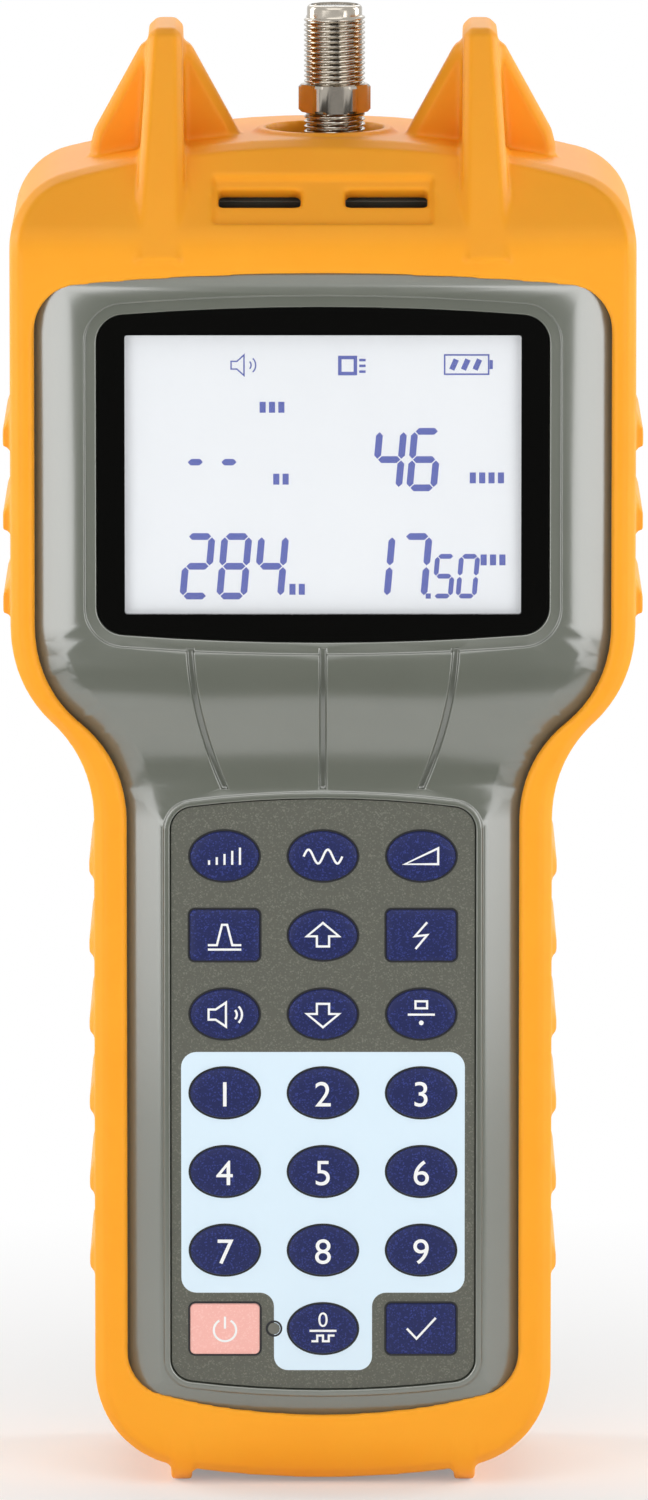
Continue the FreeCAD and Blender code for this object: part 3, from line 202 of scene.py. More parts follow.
def clear_acrylic():
    made, tree, shader, place = start_finish("clear_acrylic", {
        "Base Color": colour("ffffff"), "Roughness": 0.05, "IOR": 1.49, "Alpha": 0.05,
    })
    grain(tree, shader, place, 6.0, 0.004, 0.1)
    return made


def display_cell():
    made, tree, shader, place = start_finish("display_cell", {
        "Roughness": 0.5, "Emission Color": colour("f0f2f6"), "Emission Strength": 0.25,
    })
    mottle(tree, shader, place, 30.0, "c8ccd0", "d2d5d8")
    return made


# %% [markdown]
# ## Metals
# The port is brass under bright nickel, which has a warm cast and shows its turning marks.
# Screws are zinc plated, and the shield can inside is tinned sheet.


# %% Plated metal
def plated_metal(name, dark, light, roughness, mark_mm):
    made, tree, shader, place = start_finish(name, {"Metallic": 1.0, "Roughness": roughness})
    mottle(tree, shader, place, mark_mm * 8, dark, light)
    grain(tree, shader, place, mark_mm, 0.01, 0.15)
    return made


RUBBER = silicone_rubber()
CASE_ABS = moulded_abs("grey_abs", "61655a", "676b60", 0.3, 1.0)
BLACK_ABS = moulded_abs("black_abs", "17171a", "1d1d20", 0.5)
WHITE_ABS = moulded_abs("white_abs", "e4e4e2", "efefec", 0.45)
BOARD = moulded_abs("glass_laminate", "1d5a32", "247040", 0.4)
WRAP = moulded_abs("shrink_wrap", "2b4f7a", "325a88", 0.3)
STRIP = moulded_abs("silicone_strip", "6c6d70", "7a7b7e", 0.6)
LAMP = moulded_abs("lamp_epoxy", "66675f", "74756c", 0.2)
OVERLAY = flake_film("overlay_film", "5c5d54", "727369", 0.2, 0.3, 0.5)
KEY_NAVY = flake_film("navy_key_film", "1b2354", "323d84", 0.2, 0.25, 0.4)
KEY_PINK = flake_film("pink_key_film", "f6b8ae", "fbc6bd", 0.2, 0.3, 0.4)
PALE_BLUE = screen_ink("pale_blue_ink", "dbeefa", 0.45)
LEGEND_WHITE = screen_ink("white_ink", "f3f4f4", 0.4)
# The thin rings close round each key and round the lamp take a flat dark colour.
KEY_RIM_DARK = screen_ink("key_rim_dark", "15161a", 0.45)
SEGMENT_BLUE = screen_ink("display_blue", "3346a8", 0.5)
LENS_BLACK = polished_acrylic()
LENS_CLEAR = clear_acrylic()
CELL = display_cell()
NICKEL = plated_metal("nickel_plate", "9c958a", "b8b1a6", 0.18, 0.4)
ZINC = plated_metal("zinc_plate", "a9abad", "c3c5c7", 0.32, 0.4)
TIN = plated_metal("tinned_sheet", "b0b3b5", "c2c5c7", 0.35, 0.6)
BRONZE = plated_metal("contact_bronze", "c69a52", "d8ae66", 0.25, 0.3)
print("materials:", len(bpy.data.materials))

# %% [markdown]
# ## Dressing the CAD nodes
# Nodes whose form is right keep their solids and only take a finish.
# The main body of the meter is one rigid body, and each key is a body of its own.

# %% Finishes on the solids
MAIN_BODY = "meter"
SOLID_SHARP_DEG = 32
NODE_FINISH = {
    "rear_case": CASE_ABS, "battery_door": CASE_ABS,
    "battery_pack": WRAP, "lcd_panel": CELL, "lcd_backlight": WHITE_ABS, "contact_strips": STRIP,
    "keypad_panel": OVERLAY, "tact_switches": BLACK_ABS, "main_board": BOARD, "power_lamp": LAMP,
    "tuner_can": TIN, "speaker": BLACK_ABS, "port_insulator": WHITE_ABS, "port_contact": BRONZE,
    "port_nut": NICKEL,
}


def paint(piece, material):
    piece.data.materials.clear()
    piece.data.materials.append(material)


def shade(piece, angle_deg):
    """Smooth shading that keeps edges sharper than an angle."""
    for face in piece.data.polygons:
        face.use_smooth = True
    piece.data.set_sharp_from_angle(angle=math.radians(angle_deg))


for name, material in NODE_FINISH.items():
    paint(nodes[name], material)
    shade(nodes[name], SOLID_SHARP_DEG)
print("dressed nodes:", len(NODE_FINISH))


# %% [markdown]
# ## New pieces
# A new piece is a mesh filled by a small function, then named, painted and set to ride on a body.


# %% Making a piece
WELD = 1e-7
MITRE_LIMIT = 0.4


def new_mesh(name, fill):
    """A mesh filled by a function that takes a bmesh, with its normals outwards."""
    mesh = bpy.data.meshes.new(name)
    work = bmesh.new()
    fill(work)
    bmesh.ops.remove_doubles(work, verts=work.verts, dist=WELD)
    bmesh.ops.recalc_face_normals(work, faces=work.faces)
    work.to_mesh(mesh)
    work.free()
    return mesh


def new_object(name, mesh):
    made = bpy.data.objects.new(name, mesh)
    bpy.context.scene.collection.objects.link(made)
    return made


def as_shown(thing):
    """A new mesh of an object with its modifiers carried out."""
    return bpy.data.meshes.new_from_object(thing.evaluated_get(bpy.context.evaluated_depsgraph_get()))


def new_piece(name, mesh, material, body=MAIN_BODY, smooth_deg=30):
    """An object of its own that rides on a body."""
    piece = new_object(name, mesh)
    paint(piece, material)
    if smooth_deg is not None:
        shade(piece, smooth_deg)
    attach(piece, body)
    return piece


def loft(work, rings, cap_first=True, cap_last=True):
    """Join rings of as many points each into a skin, and close its ends."""
    rows = [[work.verts.new(point) for point in ring] for ring in rings]
    for lower, upper in zip(rows, rows[1:]):
        for index in range(len(lower)):
            after = (index + 1) % len(lower)
            work.faces.new((lower[index], lower[after], upper[after], upper[index]))
    if cap_first:
        work.faces.new(list(reversed(rows[0])))
    if cap_last:
        work.faces.new(rows[-1])


def plate(work, outline, front, back):
    """A flat plate with a front-view outline between two depths."""
    loft(work, [[(x, y, z) for x, z in outline] for y in (front, back)])


def ribbon(work, points, width, front, back, closed=False):
    """A flat band of even width along a front-view line."""
    count, lefts, rights = len(points), [], []
    for index, point in enumerate(points):
        here = Vector(point)
        before = Vector(points[index - 1]) if closed or index else None
        after = Vector(points[(index + 1) % count]) if closed or index < count - 1 else None
        pairs = ((before, here), (here, after))
        runs = [(b - a).normalized() for a, b in pairs if a is not None and b is not None]
        along = sum(runs, Vector((0, 0))).normalized()
        across = Vector((-along.y, along.x)) * (width / 2) / max(MITRE_LIMIT, along.dot(runs[0]))
        lefts.append(here + across)
        rights.append(here - across)
    rings = [
        [(a.x, front, a.y), (b.x, front, b.y), (b.x, back, b.y), (a.x, back, a.y)]
        for a, b in zip(lefts, rights)
    ]
    if closed:
        loft(work, rings + rings[:1], cap_first=False, cap_last=False)
    else:
        loft(work, rings)


def arc(centre, radius, start_deg, end_deg, count):
    """Points of an arc in the front view."""
    turns = [math.radians(start_deg + (end_deg - start_deg) * step / (count - 1)) for step in range(count)]
    return [(centre[0] + radius * math.cos(turn), centre[1] + radius * math.sin(turn)) for turn in turns]


EDGE_POINTS = 16


def arched_end(half_wide, level, arch, radius, up):
    """Half an end of a box: a bowed edge from the middle out, and a rounded corner; up is 1 or -1."""
    run = half_wide - radius
    hub = level - up * arch
    seat = hub + up * math.sqrt((arch - radius) ** 2 - run ** 2)
    end = math.degrees(math.atan2(seat - hub, run))
    bow = arc((0, hub), arch, 90 * up, end, EDGE_POINTS)
    return bow + arc((run, seat), radius, end, 0, EDGE_POINTS)[1:]


def arched_box(half_wide, low, high, arch, radius):
    """A box with rounded corners and gently bowed ends, from the foot of its right corner."""
    points = arched_end(half_wide, low, arch, radius, -1)
    points += reversed(arched_end(half_wide, high, arch, radius, 1))
    return points[1:-1] + [(-x, z) for x, z in reversed(points)]


# %% [markdown]
# ## The rubber boot
# The CAD boot has flat bevels; the moulded one has none. Remeshing its solid into small even cells and
# relaxing them rolls every lip and ridge over, as rubber does, and keeps the form and the size.
# The thin lip at the top and foot of the opening would fray in cells of that size, so a band backs it first,
# and the tops of the foot ribs are brought level with the lip.

# %% Boot
FULL_ROUND = 180
BOOT_CELL_MM, BOOT_RELAX, BOOT_KEEP = 0.45, 3, 0.16
LIP_BAND, LIP_DEPTH = 2.4 * MM, 1.1 * MM
TOP_LIP = (44.6 * MM, 191.5 * MM, 409.0 * MM, 7.0 * MM, 1)
FOOT_LIP = (30.5 * MM, 11.5 * MM, 98.0 * MM, 6.5 * MM, -1)
HEAD_LIP_FRONT, GRIP_LIP_FRONT = -25.45 * MM, -20.95 * MM
RIB_INNER, RIB_OUTER, RIB_TOP, RIB_BACK = 20.4 * MM, 23.9 * MM, 14.8 * MM, -20.1 * MM


def lip_band(work, lip, front):
    """A band that backs the lip at one end of the opening."""
    half_wide, level, arch, radius, up = lip
    grow = LIP_BAND / 2
    right = arched_end(half_wide + grow, level + up * grow, arch + grow, radius + grow, up)
    line = [(-x, z) for x, z in reversed(right[1:])] + right
    ribbon(work, line, LIP_BAND, front, front + LIP_DEPTH)


def fill_boot(work):
    """The boot's solid with its lip backed and its foot ribs level with it."""
    work.from_mesh(nodes["rubber_boot"].data)
    level, arch = FOOT_LIP[1:3]
    for vertex in work.verts:
        x, y, z = vertex.co
        edge = level + arch - math.sqrt(arch ** 2 - x ** 2)
        if RIB_INNER < abs(x) < RIB_OUTER and y < RIB_BACK and edge < z < RIB_TOP:
            vertex.co.z = edge
    lip_band(work, TOP_LIP, HEAD_LIP_FRONT)
    lip_band(work, FOOT_LIP, GRIP_LIP_FRONT)


def soft_mesh(solid, cell_mm, relax_steps, keep):
    """A relaxed, evenly meshed copy of a solid, thinned where it is flat."""
    rough = new_object("rough", solid)
    cells = rough.modifiers.new("cells", "REMESH")
    cells.mode = "VOXEL"
    cells.voxel_size = cell_mm * MM
    relax = rough.modifiers.new("relax", "SMOOTH")
    relax.factor = 0.5
    relax.iterations = relax_steps
    thin = rough.modifiers.new("thin", "DECIMATE")
    thin.ratio = keep
    mesh = as_shown(rough)
    bpy.data.objects.remove(rough)
    return mesh


boot_mesh = soft_mesh(new_mesh("boot_solid", fill_boot), BOOT_CELL_MM, BOOT_RELAX, BOOT_KEEP)
boot = new_piece("boot", boot_mesh, RUBBER, smooth_deg=FULL_ROUND)
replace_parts(boot, "rubber_boot")
print("boot triangles:", len(boot.data.polygons))

# %% [markdown]
# ## The face of the case
# The case is hard plastic with small, crisp radii. A narrow bevel on each edge catches the light, and normals
# weighted by the size of each face keep the large faces flat right up to it.

# %% Case face
EDGE_BREAK = 0.22 * MM
SEAM = 0.01 * MM
FLAT_LIMIT = math.radians(0.5)
EDGE_LIMIT = math.radians(34)


def crisp_mesh(node):
    """A copy of a solid with narrow bevels on its edges and even shading on its faces."""
    rough = new_object(node + "_rough", nodes[node].data.copy())
    work = bmesh.new()
    work.from_mesh(rough.data)
    bmesh.ops.remove_doubles(work, verts=work.verts, dist=SEAM)
    bmesh.ops.dissolve_limit(work, angle_limit=FLAT_LIMIT, verts=work.verts, edges=work.edges)
    # Hollow outlines would be filled across their gaps once their edges are bevelled
    bmesh.ops.connect_verts_concave(work, faces=work.faces)
    work.to_mesh(rough.data)
    work.free()
    rough.data.shade_smooth()
    bevel = rough.modifiers.new("edges", "BEVEL")
    bevel.width = EDGE_BREAK
    bevel.segments = 2
    bevel.limit_method = "ANGLE"
    bevel.angle_limit = EDGE_LIMIT
    bevel.use_clamp_overlap = False
    even = rough.modifiers.new("even", "WEIGHTED_NORMAL")
    even.weight = 90
    mesh = as_shown(rough)
    bpy.data.objects.remove(rough)
    return mesh


face = new_piece("case_face", crisp_mesh("front_case"), CASE_ABS, smooth_deg=None)
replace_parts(face, "front_case")
print("case faces:", len(face.data.polygons))

# %% [markdown]
# ## Keys
# Each key is a moulded cap under film, a little domed with a rolled edge, oval or square. A cap is lofted
# from rings: straight walls, a quarter-round edge and a shallow crown. Its flange sits behind the panel.

# %% Key caps
KEY_HALF = (5.35 * MM, 3.9 * MM)
SQUARE_HALF = (5.425 * MM, 4.0 * MM)
SQUARE_KEYS = ("key_ratio", "key_volt", "key_power", "key_ok")
SQUARE_CORNER = 0.8 * MM
FLANGE_THICKNESS = 1.0 * MM
EDGE_ROUND = 0.28 * MM
EDGE_TURNS = (30, 60, 90)
CROWN = 0.12 * MM
CROWN_SHARES = (0.3, 0.6, 0.85)
LEAST_GROWTH = -0.5 * MM
OVAL_POINTS = 56
CORNER_POINTS = 7
KEY_PREFIX = "key_"
KEYS = sorted(name for name in nodes if name.startswith(KEY_PREFIX))


def tag(name):
    """A key's name without its prefix."""
    return name.removeprefix(KEY_PREFIX)


def oval(centre, half_wide, half_high):
    turns = [2 * math.pi * step / OVAL_POINTS for step in range(OVAL_POINTS)]
    return [(centre[0] + half_wide * math.cos(t), centre[1] + half_high * math.sin(t)) for t in turns]


def rounded_box(centre, half_wide, half_high, radius):
    points = []
    for quarter, (side, level) in enumerate(((1, 1), (-1, 1), (-1, -1), (1, -1))):
        middle = (centre[0] + side * (half_wide - radius), centre[1] + level * (half_high - radius))
        points += arc(middle, radius, 90 * quarter, 90 * quarter + 90, CORNER_POINTS)
    return points


def key_centre(name):
    low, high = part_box(name)
    return ((low.x + high.x) / 2, (low.z + high.z) / 2)


def key_line(name, grow):
    """Front-view outline of a key, grown or shrunk by a margin."""
    centre = key_centre(name)
    if name in SQUARE_KEYS:
        radius = SQUARE_CORNER + max(grow, LEAST_GROWTH)
        return rounded_box(centre, SQUARE_HALF[0] + grow, SQUARE_HALF[1] + grow, radius)
    return oval(centre, KEY_HALF[0] + grow, KEY_HALF[1] + grow)


def fill_key(name):
    low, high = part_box(name)
    flange_front = high.y - FLANGE_THICKNESS

    def fill(work):
        steps = [(0.0, high.y - FLANGE_THICKNESS / 2), (0.0, low.y + CROWN + EDGE_ROUND)]
        for step in EDGE_TURNS:
            turn = math.radians(step)
            rise = low.y + CROWN + EDGE_ROUND * (1 - math.sin(turn))
            steps.append((-EDGE_ROUND * (1 - math.cos(turn)), rise))
        for share in CROWN_SHARES:
            steps.append((-EDGE_ROUND - share * (KEY_HALF[1] - EDGE_ROUND), low.y + CROWN * (1 - share) ** 2))
        loft(work, [[(x, y, z) for x, z in key_line(name, grow)] for grow, y in steps])
        box = [(low.x, low.z), (high.x, low.z), (high.x, high.z), (low.x, high.z)]
        plate(work, box, flange_front, high.y)

    return fill


for name in KEYS:
    film = KEY_PINK if name == "key_power" else KEY_NAVY
    cap = new_piece("cap_" + tag(name), new_mesh(name, fill_key(name)), film, name + "_body")
    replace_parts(cap, name)
print("keys:", len(KEYS))

# %% [markdown]
# ## Print and dark rims on the keypad
# A pale field lies round the number keys, with a tab for the lowest one. It has a hole for each of them,
# so that a pressed key sinks through it, and each key hole has a dark rim.
# The field and the dark rims are laid as very thin plates, so they stay flat marks from every side.

# %% Field and rims
INK = 0.03 * MM
FIELD_SINK, RIM_LIFT = INK / 3, INK * 1.6
panel_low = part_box("keypad_panel")[0]
FIELD_SIDE, FIELD_LOW, FIELD_TOP = 22.1 * MM, 30.9 * MM, 69.0 * MM
TAB_HALF, TAB_LOW = 7.65 * MM, 18.6 * MM
FIELD_ROUND, TAB_ROUND = 2.4 * MM, 2.2 * MM
FIELD_POINTS = 9


def field_line():
    """Right half of the field from the tab's foot up, then its mirror image."""
    right = arc((TAB_HALF - TAB_ROUND, TAB_LOW + TAB_ROUND), TAB_ROUND, -90, 0, FIELD_POINTS)
    right += arc((TAB_HALF + TAB_ROUND, FIELD_LOW - TAB_ROUND), TAB_ROUND, 180, 90, FIELD_POINTS)
    right += arc((FIELD_SIDE - FIELD_ROUND, FIELD_LOW + FIELD_ROUND), FIELD_ROUND, -90, 0, FIELD_POINTS)
    right += arc((FIELD_SIDE - FIELD_ROUND, FIELD_TOP - FIELD_ROUND), FIELD_ROUND, 0, 90, FIELD_POINTS)
    return right + [(-x, z) for x, z in reversed(right)]


RIM, RIM_GAP = 0.3 * MM, 0.02 * MM
RIM_MIDDLE = RIM / 2 + RIM_GAP
LAMP_PLACE, LAMP_RIM = (-7.65 * MM, 25.2 * MM), 1.15 * MM


def holed_plate(work, outline, holes, front, back):
    """A flat plate with holes through it, between two depths."""
    loops = [outline] + holes
    points = [point for line in loops for point in line]
    triangles = tessellate_polygon([[Vector((x, z, 0)) for x, z in line] for line in loops])
    for depth in (front, back):
        corners = [work.verts.new((x, depth, z)) for x, z in points]
        for triangle in triangles:
            work.faces.new([corners[index] for index in triangle])
    for line in loops:
        walls = [[(x, y, z) for x, z in line] for y in (front, back)]
        loft(work, walls, cap_first=False, cap_last=False)


def fill_field(work):
    """The field, with a hole for each key that travels through it; the rims hide its edges."""
    holes = [key_line(name, RIM_MIDDLE) for name in KEYS if tag(name).isdigit()]
    holed_plate(work, field_line(), holes, panel_low.y - INK, panel_low.y - FIELD_SINK)


def fill_rims(work):
    """A dark line round each key's hole, and one round the lamp's."""
    lines = [key_line(name, RIM_MIDDLE) for name in KEYS]
    lines.append(oval(LAMP_PLACE, LAMP_RIM, LAMP_RIM))
    for line in lines:
        ribbon(work, line, RIM, panel_low.y - RIM_LIFT, panel_low.y, closed=True)


new_piece("keypad_field", new_mesh("keypad_field", fill_field), PALE_BLUE)
# A flat dark ring is drawn close round each key and round the lamp.
new_piece("key_rims", new_mesh("key_rims", fill_rims), KEY_RIM_DARK)

# %% [markdown]
# ## Key signs
# The number keys carry plain figures. The others carry simple signs of their task, drawn as strokes:
# bars, a wave, a ramp, arrows, a loudspeaker, a flash, a ring with a stroke and a tick.

# %% Signs
SIGN_STROKE = 0.34 * MM
SIGN_INK = 0.02 * MM
FIGURE_HEIGHT = 4.1 * MM
FIGURE_SHARE = 0.73
ZERO_RISE, ZERO_HEIGHT = 1.6 * MM, 2.4 * MM
SIGN_LIFT = 0.05 * MM


def figure(work, text, centre, height, front):
    """Plain figures from the built-in face, set upright in the front view."""
    curve = bpy.data.curves.new("figure", "FONT")
    curve.body = text
    curve.size = height / FIGURE_SHARE
    curve.align_x = "CENTER"
    curve.extrude = SIGN_INK / 2
    holder = new_object("figure", curve)
    mesh = as_shown(holder)
    for vertex in mesh.vertices:
        across, up, deep = vertex.co
        vertex.co = (centre[0] + across, front - deep, centre[1] + up - height / 2)
    work.from_mesh(mesh)
    bpy.data.objects.remove(holder)


def sign_lines(name):
    """Strokes of a key's sign about its centre, in millimetres, each with a closed flag."""
    if name == "key_level":
        return [([(1.2 * step, -1.3), (1.2 * step, 0.4 + 0.5 * step)], False) for step in range(-2, 3)]
    if name == "key_mhz":
        wave = [(-3 + 0.2 * step, 1.1 * math.sin(2 * math.pi * step / 15)) for step in range(31)]
        return [(wave, False)]
    if name == "key_tilt":
        return [([(-2.6, -1.2), (2.6, -1.2), (2.6, 1.3)], True)]
    if name == "key_ratio":
        return [([(-2.6, -1.5), (-1.2, -1.5), (-0.4, 1.7), (0.4, 1.7), (1.2, -1.5), (2.6, -1.5)], False),
                ([(-2.6, -2.2), (2.6, -2.2)], False)]
    if name in ("key_up", "key_down"):
        up = 1 if name == "key_up" else -1
        arrow = [(-0.95, -1.7), (0.95, -1.7), (0.95, -0.1), (2.5, -0.1)]
        arrow += [(0, 2.0), (-2.5, -0.1), (-0.95, -0.1)]
        return [([(x, up * z) for x, z in arrow][::up], True)]
    if name == "key_volt":
        return [([(0.9, 2.1), (-1.0, -0.1), (0.9, 0.1), (-0.9, -2.1)], False)]
    if name == "key_sound":
        waves = [(arc((0.9, 0), radius, -45, 45, 9), False) for radius in (1.0, 1.8)]
        horn = [(-2.5, -0.8), (-1.4, -0.8), (0.2, -1.9), (0.2, 1.9), (-1.4, 0.8), (-2.5, 0.8)]
        return [(horn, True)] + waves
    if name == "key_dot":
        return [([(-2.1, 0), (2.1, 0)], False), (arc((0, -1.3), 0.2, 0, 315, 8), True),
                ([(-0.9, 1.0), (0.9, 1.0), (0.9, 2.1), (-0.9, 2.1)], True)]
    if name == "key_0":
        pulse = [(-1.8, -1.9), (-0.9, -1.9), (-0.9, -1.0), (0.0, -1.0)]
        pulse += [(x + 1.8, z) for x, z in pulse]
        return [([(-2.1, -0.25), (2.1, -0.25)], False), (pulse, False)]
    if name == "key_power":
        return [(arc((0, -0.15), 1.75, 120, 420, 25), False), ([(0, 0.1), (0, 2.0)], False)]
    if name == "key_ok":
        return [([(-2.2, 0.1), (-0.7, -1.5), (2.3, 1.8)], False)]
    return []


def fill_sign(name):
    centre, top = key_centre(name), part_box(name)[0].y
    front = top - SIGN_INK

    def fill(work):
        for line, closed in sign_lines(name):
            places = [(centre[0] + x * MM, centre[1] + z * MM) for x, z in line]
            ribbon(work, places, SIGN_STROKE, front, top + SIGN_LIFT, closed)
        if name == "key_0":
            figure(work, "0", (centre[0], centre[1] + ZERO_RISE), ZERO_HEIGHT, front)
        elif tag(name).isdigit():
            figure(work, tag(name), centre, FIGURE_HEIGHT, front)

    return fill


for name in KEYS:
    sign_mesh = new_mesh(name, fill_sign(name))
    new_piece("sign_" + tag(name), sign_mesh, LEGEND_WHITE, name + "_body")
print("signs:", len(KEYS))

# %% [markdown]
# ## Display
# The window is one acrylic plate. Its border is printed black behind, and the middle is clear, so it is made
# as a black frame round a clear pane. Behind the pane stand the figures of the liquid-crystal cell:
# seven-segment numbers, a loudspeaker, a small screen and a battery.

# %% Window
lens_low, lens_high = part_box("display_window")
cell_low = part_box("lcd_panel")[0]
VIEW_HALF = (30.65 * MM, 21.75 * MM)
LENS_CORNER, LENS_ARCH = 4.2 * MM, 406 * MM
VIEW_CORNER, VIEW_ARCH = 0.4 * MM, 40.0
PANE_SETBACK = 0.02 * MM
view_middle = (lens_low.z + lens_high.z) / 2
lens_line = arched_box(lens_high.x, lens_low.z, lens_high.z, LENS_ARCH, LENS_CORNER)
view_line = arched_box(
    VIEW_HALF[0], view_middle - VIEW_HALF[1], view_middle + VIEW_HALF[1], VIEW_ARCH, VIEW_CORNER,
)


def fill_border(work):
    """Black border: outer wall, front, hole and back, bridged between two like outlines."""
    front, back = lens_low.y, lens_high.y
    turns = ((lens_line, back), (lens_line, front), (view_line, front), (view_line, back))
    rings = [[(x, y, z) for x, z in line] for line, y in turns]
    loft(work, rings + rings[:1], cap_first=False, cap_last=False)


def fill_pane(work):
    plate(work, view_line, lens_low.y + PANE_SETBACK, lens_high.y)


border = new_piece("window_border", new_mesh("border", fill_border), LENS_BLACK)
new_piece("window_pane", new_mesh("pane", fill_pane), LENS_CLEAR)
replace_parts(border, "display_window")

# %% Display figures
SEGMENT_LEAN, SEGMENT_GAP = 0.09, 0.12
CELL_FACE = cell_low.y
SEGMENT_INK = 0.03 * MM
SEGMENTS = {
    "0": "abcdef", "1": "bc", "2": "abged", "3": "abgcd", "4": "fgbc",
    "5": "afgcd", "6": "afgedc", "7": "abc", "8": "abcdefg", "9": "abcdfg", "-": "g",
}
# Text, left, foot, width, height, pitch and bar thickness of each reading, in millimetres
READINGS = (
    ("284", -21.7, 141.0, 3.7, 9.3, 5.7, 1.05),
    ("17", 6.2, 141.0, 3.7, 9.3, 5.7, 1.05),
    ("50", 17.2, 141.0, 2.5, 6.2, 3.7, 0.75),
    ("--", -21.4, 157.9, 2.6, 8.0, 5.2, 1.0),
    ("46", 8.0, 157.9, 3.7, 8.8, 5.4, 1.05),
)
POINT = (15.9, 140.6, 0.8, 0.8)
# Left, foot and count of the blocks that stand for each unit
UNITS = ((-7.7, 158.4, 2), (22.7, 158.6, 4), (-5.2, 141.2, 2), (24.4, 145.8, 3), (-9.8, 169.6, 3))
UNIT_STEP, UNIT_WIDE, UNIT_HIGH = 1.45, 0.95, 1.7
ICON_LINE = 0.22


def segment_bar(work, start, end, thickness, place):
    """One pointed bar of a seven-segment figure, leaning with the figure."""
    a, b = Vector(start), Vector(end)
    along = (b - a).normalized()
    across = Vector((-along.y, along.x)) * thickness / 2
    tip = along * thickness / 2
    gap = along * thickness * SEGMENT_GAP
    a, b = a + gap, b - gap
    line = [a, a + tip - across, b - tip - across, b, b - tip + across, a + tip + across]
    leaning = [(place[0] + p.x + SEGMENT_LEAN * p.y, place[1] + p.y) for p in line]
    plate(work, leaning, CELL_FACE - SEGMENT_INK, CELL_FACE)


def segment_number(work, text, left, foot, wide, high, pitch, thickness):
    """A row of seven-segment figures; left and foot are the first figure's lower left."""
    for index, sign in enumerate(text):
        place = ((left + index * pitch) * MM, foot * MM)
        w, h, t = wide * MM, high * MM, thickness * MM
        ends = {
            "a": ((0, h), (w, h)), "b": ((w, h / 2), (w, h)), "c": ((w, 0), (w, h / 2)),
            "d": ((0, 0), (w, 0)), "e": ((0, 0), (0, h / 2)), "f": ((0, h / 2), (0, h)),
            "g": ((0, h / 2), (w, h / 2)),
        }
        for letter in SEGMENTS[sign]:
            segment_bar(work, *ends[letter], t, place)


def cell_line(work, points, width, closed=False):
    line = [(x * MM, z * MM) for x, z in points]
    ribbon(work, line, width * MM, CELL_FACE - SEGMENT_INK, CELL_FACE, closed)


def cell_block(work, left, low, wide, high):
    corners = [(left, low), (left + wide, low), (left + wide, low + high), (left, low + high)]
    plate(work, [(x * MM, z * MM) for x, z in corners], CELL_FACE - SEGMENT_INK, CELL_FACE)


def fill_display(work):
    for reading in READINGS:
        segment_number(work, *reading)
    cell_block(work, *POINT)
    # A loudspeaker, a small screen and a battery along the top
    horn = [(-14.2, 176.4), (-13.3, 176.4), (-12.2, 175.4), (-12.2, 178.6), (-13.3, 177.6), (-14.2, 177.6)]
    cell_line(work, horn, ICON_LINE, True)
    for radius in (0.8, 1.5):
        cell_line(work, arc((-11.9, 177.0), radius, -45, 45, 9), ICON_LINE)
    cell_line(work, [(2.6, 175.7), (5.0, 175.7), (5.0, 178.2), (2.6, 178.2)], 0.55, True)
    for level in (176.0, 176.9, 177.8):
        cell_line(work, [(5.6, level), (6.6, level)], 0.4)
    cell_line(work, [(18.8, 175.6), (25.6, 175.6), (25.6, 178.6), (18.8, 178.6)], 0.25, True)
    cell_line(work, [(26.0, 176.4), (26.0, 177.8)], 0.5)
    for left in (19.9, 21.7, 23.5):
        cell_line(work, [(left, 176.3), (left + 0.7, 177.9)], 0.85)
    # Plain blocks where the unit of each reading stands
    for left, level, count in UNITS:
        for index in range(count):
            cell_block(work, left + UNIT_STEP * index, level, UNIT_WIDE, UNIT_HIGH)


new_piece("display_figures", new_mesh("figures", fill_display), SEGMENT_BLUE)

# %% [markdown]
# ## Coaxial port
# The port is turned brass with a unified thread of 32 turns to the inch, a smooth nose and a hexagon.
# The thread is one helix: each ring of points takes its radius from how far the turn has climbed.

# %% Port barrel
barrel_low, barrel_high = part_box("port_barrel")
PORT_X = 1.8 * MM
PORT_Y = 1.5 * MM
THREAD_RADIUS = 9.525 / 2 * MM
THREAD_PITCH = 25.4 / 32 * MM
THREAD_DEPTH = 0.46 * MM
THREAD_STEEP, THREAD_RUNOUT = 1.35, 0.25 * MM
NOSE_LENGTH = 1.9 * MM
NOSE_RADIUS = 4.3 * MM
NOSE_ROUND = 0.6 * MM
NOSE_TURNS = (0, 30, 60, 90)
BORE_RADIUS = 3.7 * MM
BORE_DEPTH = 18.0 * MM
TURN_POINTS = 72
ROWS_PER_TURN = 8
HEX_LOW, HEX_HIGH = 213.9 * MM, 218.2 * MM
HEX_APOTHEM = 5.0 * MM
HEX_TURNED = 5.62 * MM
HEX_BEVEL = 0.4 * MM
HEX_TURN = math.radians(33)


def circle_points(radius, z):
    """A ring round the port; radius is a length or a function of the turn."""
    points = []
    for step in range(TURN_POINTS):
        turn = 2 * math.pi * step / TURN_POINTS
        reach = radius(turn) if callable(radius) else radius
        points.append((PORT_X + reach * math.cos(turn), PORT_Y + reach * math.sin(turn), z))
    return points


def thread_radius(z):
    def reach(turn):
        climb = (z / THREAD_PITCH - turn / (2 * math.pi)) % 1.0
        ridge = min(1.0, THREAD_STEEP * abs(2 * climb - 1))
        return THREAD_RADIUS - THREAD_DEPTH * (1 - ridge)
    return reach


